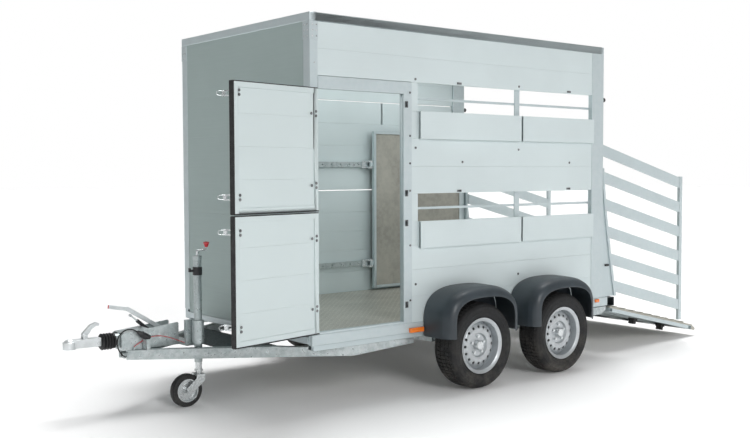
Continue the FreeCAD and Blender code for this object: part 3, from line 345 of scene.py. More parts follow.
# Each finish: base colour (a property, with a share of its brightness, or a fixed colour), then
# roughness, metallic, grain, cloud, tone, relief, gloss spread, dust, wear and worn colour.
FINISHES = {
    "Side panel": (("side_panel", 1.0), 0.5, 0.25, (3, 260, 260), 1.4, 0.03, 0.00025, 0.08, 0.1),
    # The front planks are a darker copy of the side planks: painted shade.
    "Front panel": (("front_panel", 1.0), 0.55, 0.3, (260, 3, 260), 1.2, 0.03, 0.00025, 0.08,
                    0.08),
    "Door panel": (("door_panel", 1.0), 0.45, 0.1, (3, 3, 220), 1.2, 0.02, 0.0002, 0.06, 0.06),
    "Door rim": (("door_panel", 1.0), 0.4, 0.15, (220, 220, 3), 1.5, 0.02, 0.0002, 0.06, 0.06),
    "Aluminium profile": (("profile", 1.0), 0.42, 0.35, (90, 90, 2.5), 2.0, 0.03, 0.0001, 0.06,
                          0.08, 0.12),
    "Aluminium rail": (("profile", 1.0), 0.42, 0.35, (2.5, 90, 90), 2.0, 0.03, 0.0001, 0.06, 0.08,
                       0.12),
    "Galvanised steel": (("zinc", 1.0), 0.46, 0.7, (35, 35, 35), 4.0, 0.1, 0.0004, 0.1, 0.3, 0.3),
    "Bright zinc": (("bright_zinc", 1.0), 0.3, 0.85, (120, 120, 120), 8.0, 0.08, 0.0001, 0.1, 0.1,
                    0.3),
    "Dark bolt": ((0.1, 0.105, 0.11), 0.4, 0.7, (120, 120, 120), 8.0, 0.1, 0.0001, 0.1, 0.1, 0.3),
    "Plated casting": (("bright_zinc", 1.05), 0.42, 0.6, (240, 240, 240), 20.0, 0.07, 0.0005, 0.12,
                       0.06, 0.4),
    "Moulded guard": (("guard", 1.0), 0.42, 0.0, (320, 320, 320), 5.0, 0.18, 0.0004, 0.08, 0.22,
                      0.15, (0.12, 0.13, 0.14)),
    "Tyre rubber": (("tyre", 1.0), 0.72, 0.0, (180, 180, 180), 12.0, 0.25, 0.0006, 0.1, 0.3, 0.2,
                    (0.07, 0.068, 0.065)),
    "Black rubber": (("tyre", 0.9), 0.55, 0.0, (150, 150, 150), 14.0, 0.2, 0.0003, 0.1, 0.1, 0.2,
                     (0.06, 0.06, 0.06)),
    "Dark plastic": ((0.02, 0.021, 0.023), 0.4, 0.0, (260, 260, 260), 10.0, 0.15, 0.0003, 0.1, 0.1,
                     0.2, (0.1, 0.1, 0.1)),
    "Silver paint": (("rim", 1.0), 0.36, 0.55, (900, 900, 900), 10.0, 0.05, 0.00012, 0.1, 0.12,
                     0.2, (0.3, 0.3, 0.3)),
    "Faced board": (("board", 1.0), 0.6, 0.0, (60, 60, 9), 5.0, 0.12, 0.0005, 0.1, 0.15, 0.3,
                    (0.5, 0.48, 0.42)),
    "Tread plate": (("floor_plate", 1.0), 0.42, 0.55, (60, 60, 60), 3.0, 0.1, 0.0035, 0.1, 0.25),
    # A dark colour laid on as painted shade on the rear bumper beam, and on the top of the drawbar
    # behind the overrun housing.
    "Dark sheet": ((0.05, 0.065, 0.07), 0.5, 0.3, (90, 90, 90), 5.0, 0.15, 0.0003, 0.1, 0.3),
    "Amber lens": (("amber", 1.0), 0.16, 0.0, (900, 3, 3), 9.0, 0.12, 0.0012, 0.05, 0.05),
    "Red plastic": (("red", 1.0), 0.32, 0.0, (200, 200, 200), 12.0, 0.1, 0.0003, 0.08, 0.04, 0.2,
                    (0.8, 0.3, 0.3)),
}
EXTRAS = {"Galvanised steel": {"spangle": 85.0}, "Moulded guard": {"coat": 0.06},
          "Silver paint": {"coat": 0.3}, "Tread plate": {"plate": 0.032},
          "Amber lens": {"coat": 0.5}, "Red plastic": {"coat": 0.2}}


def studio_finish():
    """Pale floor that stays near white where no shadow falls."""
    material = bpy.data.materials.new("Studio floor")
    material.use_nodes = True
    shader = material.node_tree.nodes["Principled BSDF"]
    shader.inputs["Base Color"].default_value = (*colours().studio, 1.0)
    shader.inputs["Roughness"].default_value = 0.9
    shader.inputs["Emission Color"].default_value = (1.0, 1.0, 1.0, 1.0)
    shader.inputs["Emission Strength"].default_value = FLOOR_GLOW
    return material


made_finishes = {}


def finish(name):
    """A material made once and shared by the pieces that wear it."""
    if name not in made_finishes:
        base, *look = FINISHES[name]
        if isinstance(base[0], str):
            label, share = base
            base = shade(getattr(colours(), label), share)
        made_finishes[name] = surface(name, base, *look, **EXTRAS.get(name, {}))
    return made_finishes[name]


# ------------------------------------------------------------------ modelling helpers
def only(piece):
    """Make this piece the one that is selected and active."""
    if bpy.context.object and bpy.context.object.mode != "OBJECT":
        bpy.ops.object.mode_set(mode="OBJECT")
    bpy.ops.object.select_all(action="DESELECT")
    if piece:
        piece.select_set(True)
        bpy.context.view_layer.objects.active = piece


def edit(piece):
    """Enter edit mode with everything selected."""
    only(piece)
    bpy.ops.object.mode_set(mode="EDIT")
    bpy.ops.mesh.select_all(action="SELECT")


def leave_edit():
    bpy.ops.object.mode_set(mode="OBJECT")


def settle(piece):
    """Bake the object's place into its mesh, so that the object stands at the origin."""
    only(piece)
    bpy.ops.object.transform_apply(location=True, rotation=True, scale=True)


def heal(piece):
    """Merge doubles and point the faces outward."""
    edit(piece)
    bpy.ops.mesh.remove_doubles(threshold=0.00002)
    bpy.ops.mesh.normals_make_consistent(inside=False)
    leave_edit()


def smooth(piece, angle=38.0):
    only(piece)
    bpy.ops.object.shade_smooth_by_angle(angle=math.radians(angle))


def apply_modifier(piece, kind, **settings):
    """Add one modifier and apply it."""
    only(piece)
    modifier = piece.modifiers.new(kind.title(), kind)
    for key, value in settings.items():
        setattr(modifier, key, value)
    bpy.ops.object.modifier_apply(modifier=modifier.name)


def rounded(piece, width, segments=2, angle=38.0):
    """Bevel every edge sharper than an angle, and shade the faces by their size."""
    if width:
        apply_modifier(piece, "BEVEL", width=width, segments=segments, limit_method="ANGLE",
                       angle_limit=math.radians(angle), use_clamp_overlap=True)
    smooth(piece)
    apply_modifier(piece, "WEIGHTED_NORMAL", keep_sharp=True)
    return piece


def block(name, low, high):
    """A block between two corners."""
    low, high = Vector(low), Vector(high)
    only(None)
    bpy.ops.mesh.primitive_cube_add(size=1.0, location=(low + high) / 2)
    piece = bpy.context.object
    piece.name = name
    piece.scale = high - low
    settle(piece)
    return piece


def chain(name, points, closed=True):
    """A loop or an open line of edges through points."""
    only(None)
    bpy.ops.mesh.primitive_circle_add(vertices=len(points), radius=1.0, fill_type="NOTHING")
    piece = bpy.context.object
    piece.name = name
    for vertex, point in zip(piece.data.vertices, points):
        vertex.co = point
    if not closed:
        ends = {0, len(points) - 1}
        bpy.context.tool_settings.mesh_select_mode = (False, True, False)
        edit(piece)
        bpy.ops.mesh.select_all(action="DESELECT")
        leave_edit()
        for edge in piece.data.edges:
            edge.select = set(edge.vertices) == ends
        bpy.ops.object.mode_set(mode="EDIT")
        bpy.ops.mesh.delete(type="EDGE")
        leave_edit()
    return piece


def prism(name, points, along):
    """A flat outline pushed out along a vector into a closed solid."""
    piece = chain(name, points)
    edit(piece)
    bpy.ops.mesh.edge_face_add()
    bpy.ops.mesh.extrude_region_move(TRANSFORM_OT_translate={"value": along})
    bpy.ops.mesh.select_all(action="SELECT")
    bpy.ops.mesh.normals_make_consistent(inside=False)
    leave_edit()
    return piece


def lathe(name, points, centre, axis, steps=96, closed=True, angle=2 * math.pi):
    """A profile of points spun about an axis through a centre."""
    piece = chain(name, points, closed)
    edit(piece)
    bpy.ops.mesh.spin(steps=steps, dupli=False, angle=angle, center=centre, axis=axis)
    leave_edit()
    heal(piece)
    return piece


def joined(name, pieces):
    """Several pieces made one object."""
    only(pieces[0])
    for piece in pieces:
        piece.select_set(True)
    bpy.context.view_layer.objects.active = pieces[0]
    if len(pieces) > 1:
        bpy.ops.object.join()
    pieces[0].name = name
    return pieces[0]


def copied(piece, name, matrix):
    """A copy with its own mesh, moved by a matrix."""
    only(piece)
    bpy.ops.object.duplicate()
    twin = bpy.context.object
    twin.name = name
    twin.matrix_world = matrix @ twin.matrix_world
    settle(twin)
    if matrix.determinant() < 0:
        edit(twin)
        bpy.ops.mesh.normals_make_consistent(inside=False)
        leave_edit()
    return twin


def wire(name, points, diameter, closed=False):
    """Round wire through points, as a mesh."""
    curve = bpy.data.curves.new(name, "CURVE")
    curve.dimensions = "3D"
    curve.bevel_depth = diameter / 2
    curve.bevel_resolution = 3
    curve.use_fill_caps = True
    curve.resolution_u = 6
    spline = curve.splines.new("NURBS")
    spline.points.add(len(points) - 1)
    for point, spot in zip(spline.points, points):
        point.co = (*spot, 1.0)
    spline.order_u = 3
    spline.use_endpoint_u = not closed
    spline.use_cyclic_u = closed
    piece = bpy.data.objects.new(name, curve)
    bpy.context.scene.collection.objects.link(piece)
    only(piece)
    bpy.ops.object.convert(target="MESH")
    piece = bpy.context.object
    piece.name = name
    return piece


def heads(name, spots, axis, radius, height, sides=20):
    """Low domed fastener heads standing on a face, one at each spot."""
    turn = Vector((0, 0, 1)).rotation_difference(Vector(axis)).to_matrix().to_4x4()
    only(None)
    bpy.ops.mesh.primitive_cylinder_add(vertices=sides, radius=radius, depth=height,
                                        location=(0, 0, height / 2))
    first = bpy.context.object
    settle(first)
    rounded(first, min(radius, height) * 0.45, 2)
    made = [copied(first, name, Matrix.Translation(spot) @ turn) for spot in spots]
    bpy.data.objects.remove(first)
    return joined(name, made)


def finer(node, width=0.0, segments=2, name=None):
    """A merged copy of a CAD node with rounded edges."""
    only(frame["nodes"][node])
    bpy.ops.object.duplicate()
    piece = bpy.context.object
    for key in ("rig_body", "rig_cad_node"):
        del piece[key]
    piece.parent = None
    piece.matrix_world = Matrix.Identity(4)
    piece.name = name or node + "_finished"
    edit(piece)
    bpy.ops.mesh.customdata_custom_splitnormals_clear()
    bpy.ops.mesh.remove_doubles(threshold=0.00001)
    bpy.ops.mesh.dissolve_limited(angle_limit=math.radians(0.6))
    leave_edit()
    return rounded(piece, width, segments)


def wear_finish(piece, look):
    """Give a piece one finish all over."""
    piece.data.materials.clear()
    piece.data.materials.append(finish(look))


def paint(piece, look, test):
    """Give a second finish to the faces whose centre passes a test."""
    piece.data.materials.append(finish(look))
    index = len(piece.data.materials) - 1
    for face in piece.data.polygons:
        if test(face.center):
            face.material_index = index


def fit(piece, look, *nodes, body=None, slot=None):
    """Finish a piece, put it on its body, and let it stand for its CAD nodes."""
    wear_finish(piece, look)
    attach(piece, body or BODY_OF[nodes[0]])
    if nodes:
        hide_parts(*nodes)
    return piece


def fit_finer(node, look, width=0.0, segments=2):
    return fit(finer(node, width, segments), look, node)


# ------------------------------------------------------------------ stage, cords
CAMERA_AT = (-2.212, -5.498, 0.993)
CAMERA_TURN = (87.31, 0.19, -39.29)          # degrees
CAMERA_LENS, CAMERA_SENSOR = 47.32, 36.0     # mm
SUNS = (("Key", (-0.15, -0.90, 0.42), 1.12, 24.0),
        ("Top", (0.38, 0.28, 1.0), 2.5, 30.0))       # towards the light, strength, degrees across
SKY_FRONT, SKY_REAR = 0.18, 0.38             # strength of the surroundings
FLOOR_GLOW = 0.04
INSIDE_SIZE, INSIDE_POWER = (2.2, 1.2), 11.0
INSIDE_AT = (1.45, 0.0, 2.22)


class TRAILER_OT_stage(bpy.types.Operator):
    """Pale floor, soft studio light and the camera"""

    bl_idname = "trailer.stage"
    bl_label = "Stage"

    def execute(self, context):
        data = bpy.data.cameras.new("Camera")
        data.lens = CAMERA_LENS
        data.sensor_width = CAMERA_SENSOR
        camera = bpy.data.objects.new("Camera", data)
        camera.location = CAMERA_AT
        camera.rotation_euler = [math.radians(angle) for angle in CAMERA_TURN]
        context.scene.collection.objects.link(camera)
        context.scene.camera = camera
        only(None)
        bpy.ops.mesh.primitive_plane_add(size=160.0, location=(0.0, 0.0, GROUND - 0.0005))
        floor = context.object
        floor.name = "studio_floor"
        floor.data.materials.append(studio_finish())
        self.world(context)
        for label, towards, strength, softness in SUNS:
            self.sun(context, label, towards, strength, softness)
        self.inside(context)
        return {"FINISHED"}

    def world(self, context):
        """White surroundings that are dimmer towards the front of the trailer."""
        world = bpy.data.worlds.new("Studio")
        context.scene.world = world
        world.use_nodes = True
        tree = world.node_tree
        back = tree.nodes["Background"]
        way = put(tree, "ShaderNodeTexCoord").outputs["Generated"]
        forward = put(tree, "ShaderNodeSeparateXYZ", {0: way}).outputs["X"]
        level = stretch(tree, forward, -0.9, 0.5, SKY_FRONT, SKY_REAR)
        seen = put(tree, "ShaderNodeLightPath").outputs["Is Camera Ray"]
        strength = put(tree, "ShaderNodeMix", {"Factor": seen, "A": level, "B": 1.0}).outputs[0]
        tree.links.new(strength, back.inputs["Strength"])
        back.inputs["Color"].default_value = (1.0, 1.0, 1.0, 1.0)
        context.scene.view_settings.view_transform = "Standard"

    def inside(self, context):
        """Daylight that comes through the roof and the slots, as one soft panel under the roof."""
        data = bpy.data.lights.new("Inside", "AREA")
        data.shape = "RECTANGLE"
        data.size, data.size_y = INSIDE_SIZE
        data.energy = INSIDE_POWER
        lamp = bpy.data.objects.new("Inside", data)
        lamp.location = place(*INSIDE_AT)
        lamp.visible_camera = False
        context.scene.collection.objects.link(lamp)

    def sun(self, context, name, towards, strength, softness):
        data = bpy.data.lights.new(name, "SUN")
        data.energy = strength
        data.angle = math.radians(softness)
        lamp = bpy.data.objects.new(name, data)
        lamp.rotation_mode = "QUATERNION"
        lamp.rotation_quaternion = Vector(towards).to_track_quat("Z", "Y")
        context.scene.collection.objects.link(lamp)


def cord(name, route, diameter):
    """A cord on one smooth NURBS line."""
    curve = bpy.data.curves.new(name, "CURVE")
    curve.dimensions = "3D"
    curve.bevel_depth = diameter / 2
    curve.bevel_resolution = 6
    curve.use_fill_caps = True
    spline = curve.splines.new("NURBS")
    spline.points.add(len(route) - 1)
    for point, spot in zip(spline.points, route):
        point.co = (*place(*spot), 1.0)
    spline.order_u = 3
    spline.use_endpoint_u = True
    piece = bpy.data.objects.new(name, curve)
    bpy.context.scene.collection.objects.link(piece)
    return piece


LEAD_WIDTH = 0.008
LEAD_ROUTE = [(-0.857, -0.088, 0.314), (-0.872, -0.114, 0.314), (-0.894, -0.129, 0.324),
              (-0.913, -0.130, 0.345), (-0.925, -0.123, 0.372), (-0.926, -0.114, 0.402),
              (-0.915, -0.104, 0.432), (-0.891, -0.096, 0.456), (-0.861, -0.091, 0.470),
              (-0.830, -0.0895, 0.4715), (-0.8035, -0.0902, 0.4638), (-0.785, -0.092, 0.452)]
CABLE_WIDTH = 0.004
CABLE_ROUTE = [(-0.800, -0.074, 0.362), (-0.762, -0.073, 0.384), (-0.712, -0.074, 0.406),
               (-0.655, -0.078, 0.414), (-0.598, -0.088, 0.404), (-0.545, -0.110, 0.384),
               (-0.500, -0.140, 0.362)]


class TRAILER_OT_cords(bpy.types.Operator):
    """Electrical lead with its plug, and the breakaway cable"""

    bl_idname = "trailer.cords"
    bl_label = "Cords"

    def execute(self, context):
        plug = fit(finer("lead_plug", 0.0015, 2, "lead_plug_shell"), "Dark plastic", "lead_plug")
        lead = fit(cord("electrical_lead_cord", LEAD_ROUTE, LEAD_WIDTH), "Black rubber",
                   "electrical_lead")
        cable = fit(cord("breakaway_cable_cord", CABLE_ROUTE, CABLE_WIDTH), "Red plastic",
                    "breakaway_cable")
        return {"FINISHED"}


# ------------------------------------------------------------------ body shell
PLANK_LEVELS = ((0.430, 0.600, 0.770, 0.925, 1.078), (1.258, 1.433, 1.609, 1.784),
                (1.968, 2.125, 2.283))
SLOT_BANDS = ((1.784, 1.968), (1.078, 1.258))
WALL_OUT, WALL_IN = 0.770, 0.745
POST_END, JAMB_END, LINTEL_TOP = 0.056, 0.790, 1.965
POST_FACE, LINTEL_FOOT = 0.772, 1.89
FRONT_LEVELS = (0.415, 0.600, 0.860, 1.120, 1.380, 1.640, 1.900, 2.283)
SLOT_START, REAR_POST = 0.845, 2.600
ROOF_LOW = 2.283
ROOF_PLANKS = 6


def plank_blocks(name, side, door_side):
    """The planks of a side wall, each a block, in rows between the slots."""
    made = []
    y0, y1 = sorted((side * WALL_OUT, side * WALL_IN))
    for levels in PLANK_LEVELS:
        for low, high in zip(levels, levels[1:]):
            start = JAMB_END if door_side and low < LINTEL_TOP else POST_END
            made.append(block(name, place(start, y0, low), place(REAR_POST, y1, high)))
    for low, high in SLOT_BANDS:
        start = JAMB_END if door_side else POST_END
        made.append(block(name, place(start, y0, low), place(SLOT_START, y1, high)))
    return joined(name, made)


class TRAILER_OT_walls(bpy.types.Operator):
    """Side and front walls of grooved planks"""

    bl_idname = "trailer.walls"
    bl_label = "Walls"

    def execute(self, context):
        edge = sizes().plank_edge
        for side, label in ((-1, "left"), (1, "right")):
            wall = plank_blocks(label + "_wall_planks", side, side < 0)
            fit(rounded(wall, edge, 2), "Side panel", label + "_wall")
        low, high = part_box("front_wall")
        made = [block("front_wall_planks", (low.x, low.y, DATUM + a), (high.x, high.y, DATUM + b))
                for a, b in zip(FRONT_LEVELS, FRONT_LEVELS[1:])]
        front = rounded(joined("front_wall_planks", made), edge * 0.45, 2)
        # The front planks take the darker colour, painted shade on the wall turned away from the
        # light.
        fit(front, "Front panel", "front_wall")
        return {"FINISHED"}


class TRAILER_OT_roof(bpy.types.Operator):
    """Roof planks and the profiles round their edge"""

    bl_idname = "trailer.roof"
    bl_label = "Roof"

    def execute(self, context):
        low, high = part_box("roof_panel")
        step = (high.y - low.y) / ROOF_PLANKS
        made = [block("roof_planks", (low.x, low.y + i * step, low.z),
                      (high.x, low.y + (i + 1) * step, high.z)) for i in range(ROOF_PLANKS)]
        fit(rounded(joined("roof_planks", made), sizes().plank_edge, 2), "Side panel",
            "roof_panel")
        fit_finer("roof_rails", "Aluminium rail", 0.005, 4)
        return {"FINISHED"}


CAP_HEIGHT = 0.105
CAP_PROUD = 0.0022
CAP_RIVET_LEVELS = (2.195, 2.228, 2.261)
POST_RIVET_LEVELS = (0.520, 0.900, 1.280, 1.660, 2.040)
RIVET_RADIUS, RIVET_HEIGHT = 0.0048, 0.0022


class TRAILER_OT_posts(bpy.types.Operator):
    """Corner posts, their riveted caps and the side door's frame"""

    bl_idname = "trailer.posts"
    bl_label = "Posts"

    def execute(self, context):
        fit_finer("corner_posts", "Aluminium profile", sizes().profile_edge, 3)
        frame_piece = fit_finer("door_frame", "Aluminium profile", sizes().small_edge, 2)
        lintel = place(0.0, 0.0, LINTEL_FOOT).z
        paint(frame_piece, "Aluminium rail", lambda spot: spot.z > lintel)
        self.caps()
        self.rivets()
        return {"FINISHED"}

    def caps(self):
        """Angle plates over the top of each front post."""
        made = []
        for side in (-1, 1):
            out = POST_FACE + CAP_PROUD
            ring = [(-0.002 - CAP_PROUD, side * out), (0.058, side * out), (0.058, side * 0.764),
                    (0.008, side * 0.764), (0.008, side * 0.703),
                    (-0.002 - CAP_PROUD, side * 0.703)]
            made.append(prism("post_caps", [place(x, y, ROOF_LOW - CAP_HEIGHT) for x, y in ring],
                              (0, 0, CAP_HEIGHT)))
        caps = rounded(joined("post_caps", made), 0.0012, 2)
        fit(caps, "Aluminium profile", body="chassis", slot="anodised_aluminium")

    def rivets(self):
        """Two columns of rivets in each cap, and a line of them down each front post."""
        for side in (-1, 1):
            here = [place(x, side * (POST_FACE + CAP_PROUD), z) for z in CAP_RIVET_LEVELS
                    for x in (0.016, 0.044)]
            here += [place(0.030, side * POST_FACE, z) for z in POST_RIVET_LEVELS]
            made = heads("post_rivets_%s" % ("left" if side < 0 else "right"), here, (0, side, 0),
                         RIVET_RADIUS, RIVET_HEIGHT)
            fit(made, "Bright zinc", body="chassis", slot="zinc_plated")
        faces = [place(-0.002 - CAP_PROUD, y, z) for y in (-0.752, -0.722, 0.722, 0.752)
                 for z in CAP_RIVET_LEVELS]
        front = heads("cap_rivets_front", faces, (-1, 0, 0), RIVET_RADIUS, RIVET_HEIGHT)
        fit(front, "Bright zinc", body="chassis", slot="zinc_plated")


class TRAILER_OT_slots(bpy.types.Operator):
    """Air slot bars and the folding shutters"""

    bl_idname = "trailer.slots"
    bl_label = "Air slots"

    def execute(self, context):
        fit_finer("slot_bars", "Aluminium rail", 0.0025, 3)
        for side in ("left", "right"):
            for level in ("upper", "lower"):
                fit_finer("%s_%s_flaps" % (side, level), "Side panel", 0.004, 3)
        return {"FINISHED"}


# ------------------------------------------------------------------ side door
HINGE = place(0.028, -0.790, 0.0)
OPEN_ANGLE = -169.5                          # degrees from closed
LEAF_START, LEAF_END = 0.062, 0.714
LEAF_OUT, LEAF_IN = -0.774, -0.742
LEAF_RIM = 0.034
LEAVES = {"upper": (1.170, 1.886), "lower": (0.450, 1.162)}
PLANK_STEP = 0.178
LATCHES = {"upper": (1.262, 1.824), "lower": (0.550, 1.072)}
STRAP_INSET = 0.150
LATCH_X, LATCH_Y = 0.672, -0.786


def opened(piece):
    """Swing a piece modelled on the closed leaf to where the leaf rests."""
    back = Matrix.Translation(HINGE) @ Matrix.Rotation(math.radians(OPEN_ANGLE), 4, "Z")
    piece.matrix_world = back @ Matrix.Translation(-HINGE)
    settle(piece)
    return piece


class TRAILER_OT_doors(bpy.types.Operator):
    """Both door leaves: rims, plank panels, seals, bolts and latches"""

    bl_idname = "trailer.doors"
    bl_label = "Side door"

    def execute(self, context):
        for leaf, (low, high) in LEAVES.items():
            body = leaf + "_door"
            fit_finer(leaf + "_door_frame", "Door rim", 0.0018, 2)
            self.panel(leaf, low, high)
            self.seal(leaf, low, high, body)
            self.bolts(leaf, low, high, body)
            fit_finer(leaf + "_door_latches", "Bright zinc", 0.0012, 2)
            self.bails(leaf)
        return {"FINISHED"}

    def panel(self, leaf, low, high):
        """Infill of planks between the rims."""
        base, top = low + LEAF_RIM, high - LEAF_RIM
        joints = [base]
        level = top - PLANK_STEP * 0.78
        while level > base + 0.05:
            joints.insert(1, level)
            level -= PLANK_STEP
        joints.append(top)
        made = [block("panel", place(LEAF_START + LEAF_RIM, LEAF_OUT + 0.004, a),
                      place(LEAF_END - LEAF_RIM, LEAF_IN - 0.004, b))
                for a, b in zip(joints, joints[1:])]
        panel = rounded(joined(leaf + "_door_planks", made), sizes().plank_edge * 0.7, 2)
        fit(opened(panel), "Door panel", leaf + "_door_panel")

    def seal(self, leaf, low, high, body):
        """Rubber strips along the free edge, the top and the foot of the leaf."""
        wide = sizes().seal_width
        strips = [((LEAF_END - wide * 0.6, low), (LEAF_END + wide * 0.4, high)),
                  ((LEAF_START, low - 0.002), (LEAF_END, low + 0.005)),
                  ((LEAF_START, high - 0.004), (LEAF_END, high + 0.001))]
        made = [block("seal", place(x0, LEAF_OUT + 0.003, z0), place(x1, LEAF_IN + 0.003, z1))
                for (x0, z0), (x1, z1) in strips]
        seal = rounded(joined(leaf + "_door_seal", made), 0.0018, 2)
        fit(opened(seal), "Black rubber", body=body, slot="black_rubber")

    def bolts(self, leaf, low, high, body):
        """Bolt heads on the inner face, behind the hinge straps and the latches."""
        spots = []
        for z in (low + STRAP_INSET, high - STRAP_INSET):
            spots += [place(x, LEAF_IN, z + dz) for x, dz in
                      ((LEAF_START + 0.018, 0.013), (LEAF_START + 0.018, -0.013), (0.118, 0.0))]
        for z in LATCHES[leaf]:
            spots += [place(LATCH_X + dx, LEAF_IN, z + dz) for dx, dz in ((0, 0.012), (0, -0.012))]
        made = heads(leaf + "_door_bolts", spots, (0, 1, 0), 0.0085, 0.004)
        fit(opened(made), "Dark bolt", body=body, slot="zinc_plated")

    def bails(self, leaf):
        """Sprung wire loops on the latch levers."""
        made = []
        for z in LATCHES[leaf]:
            loop = [(LATCH_X, -0.060, -0.011), (LATCH_X + 0.018, -0.068, -0.012),
                    (LATCH_X + 0.036, -0.082, -0.012), (LATCH_X + 0.042, -0.088, -0.006),
                    (LATCH_X + 0.042, -0.088, 0.006), (LATCH_X + 0.036, -0.082, 0.012),
                    (LATCH_X + 0.018, -0.068, 0.012), (LATCH_X, -0.060, 0.011)]
            points = [place(x, LATCH_Y + y, z + dz) for x, y, dz in loop]
            made.append(wire("bail", points, sizes().wire, closed=True))
        bail = joined(leaf + "_latch_bails", made)
        smooth(bail)
        fit(opened(bail), "Bright zinc", body=leaf + "_door_latches", slot="zinc_plated")


# ------------------------------------------------------------------ running gear
WHEELS = {"front_left": (1.205, -0.9125), "front_right": (1.205, 0.9125),
          "rear_left": (2.009, -0.9125), "rear_right": (2.009, 0.9125)}
WHEEL_RADIUS, AXLE_HEIGHT = 0.281, 0.2625
SIDEWALL = ((0.1652, 0.0620), (0.1652, 0.0715), (0.1790, 0.0755), (0.1840, 0.0762),
            (0.1875, 0.0790), (0.1905, 0.0850), (0.2000, 0.0895), (0.2110, 0.0937), (0.2210, 0.0956),
            (0.2228, 0.0967), (0.2252, 0.0967), (0.2268, 0.0958), (0.2400, 0.0970),
            (0.2500, 0.0957), (0.2522, 0.0963), (0.2550, 0.0940), (0.2630, 0.0893),
            (0.2692, 0.0830), (0.2726, 0.0740))
DRUM_RADIUS, DISC_INNER = 0.1345, 0.0279
HOLLOW = ((0.2660, 0.062), (0.2540, 0.0815), (0.2320, 0.0855), (0.2080, 0.080), (0.1840, 0.062))
TREAD_ROWS = ((-0.0820, -0.0570, 0.0098, 0.12), (-0.0520, -0.0230, 0.0, 0.45),
              (-0.0178, 0.0178, 0.0, -0.30), (0.0230, 0.0520, 0.0, 0.45),
              (0.0570, 0.0820, 0.0098, 0.12))


class TRAILER_OT_wheels(bpy.types.Operator):
    """Tyres with tread blocks, rims and drums"""

    bl_idname = "trailer.wheels"
    bl_label = "Wheels"

    def execute(self, context):
        first = self.tyre("front_left")
        x0, y0 = WHEELS["front_left"]
        for wheel, (x, y) in WHEELS.items():
            piece = first
            if wheel != "front_left":
                piece = copied(first, "tyre_" + wheel + "_treaded",
                               Matrix.Translation((x - x0, y - y0, 0)))
            fit(piece, "Tyre rubber", "tyre_" + wheel)
            self.rim(wheel, x, y)
        fit_finer("axles", "Galvanised steel", 0.002, 2)
        return {"FINISHED"}

    def tyre(self, wheel):
        """Carcass with moulded rings, and tread blocks set round it."""
        x, y = WHEELS[wheel]
        floor = WHEEL_RADIUS - sizes().tread_depth
        ring = list(SIDEWALL) + [(floor, 0.05)]
        points = [(r, -w) for r, w in ring] + [(r, w) for r, w in ring[::-1]]
        points += [(r, w) for r, w in HOLLOW[::-1]] + [(r, -w) for r, w in HOLLOW]
        centre = place(x, y, AXLE_HEIGHT)
        carcass = lathe("tyre_" + wheel + "_treaded",
                        [centre + Vector((0, w, r)) for r, w in points], centre, (0, 1, 0), 128)
        smooth(carcass, 30.0)
        return joined("tyre_" + wheel + "_treaded", [carcass, self.tread(centre, floor)])

    def tread(self, centre, floor):
        """One pitch of five blocks, repeated round the tyre."""
        pitches = sizes().tread_pitches
        reach = math.pi * WHEEL_RADIUS / pitches
        made = []
        for y0, y1, fall, skew in TREAD_ROWS:
            width = y1 - y0
            low = centre + Vector((-reach * 0.80, y0, floor - 0.006))
            high = centre + Vector((reach * 0.80, y1, WHEEL_RADIUS - 0.0006))
            part = block("tread", low, high)
            for vertex in part.data.vertices:
                across = (vertex.co.y - centre.y - y0) / width
                vertex.co.x += skew * (across - 0.5) * reach
                outer = across < 0.5 if y0 < 0 else across > 0.5
                if outer and vertex.co.z > centre.z + floor:
                    vertex.co.z -= fall
                elif outer and fall:
                    vertex.co.z -= fall * 0.9
            made.append(part)
        pitch = joined("tread", made)
        apply_modifier(pitch, "BEVEL", width=0.0009, segments=1, limit_method="ANGLE")
        pivot = bpy.data.objects.new("pivot", None)
        bpy.context.scene.collection.objects.link(pivot)
        pitch.matrix_world = Matrix.Translation(-centre)
        settle(pitch)
        pivot.rotation_euler = (0, 2 * math.pi / pitches, 0)
        bpy.context.view_layer.update()
        apply_modifier(pitch, "ARRAY", count=pitches, use_relative_offset=False,
                       use_object_offset=True, offset_object=pivot)
        bpy.data.objects.remove(pivot)
        pitch.matrix_world = Matrix.Translation(centre)
        settle(pitch)
        smooth(pitch, 25.0)
        return pitch

    def rim(self, wheel, x, y):
        """The rim in silver paint, with the drum and the bolts in their own finishes."""
        rim = fit_finer("rim_" + wheel, "Silver paint")
        centre = place(x, y, AXLE_HEIGHT)
        side = 1 if y > 0 else -1

        def radius(spot):
            return math.hypot(spot.x - centre.x, spot.z - centre.z)

        def drum(spot):
            out = (spot.y - centre.y) * side
            return radius(spot) < DRUM_RADIUS and out < DISC_INNER

        def bright(spot):
            out = (spot.y - centre.y) * side
            return out > 0.0345 and (radius(spot) < 0.034 or 0.046 < radius(spot) < 0.066)

        paint(rim, "Dark plastic", drum)
        paint(rim, "Bright zinc", bright)


GUARD_HALF, GUARD_TOP, GUARD_TURN, GUARD_FOOT = 0.340, 0.652, 0.420, 0.332
GUARD_SHIFT = 0.020
GUARD_SQUARE = 0.72
GUARD_SECTION = ((0.7765, 0.0), (0.800, 0.0), (0.860, 0.0005), (0.915, 0.002), (0.940, 0.0035),
                 (0.955, 0.0062), (0.962, 0.0100), (0.985, 0.0160), (1.005, 0.0310),
                 (1.0155, 0.0500), (1.0185, 0.0640), (1.0190, 0.0700))
GUARD_WALL = 0.0028


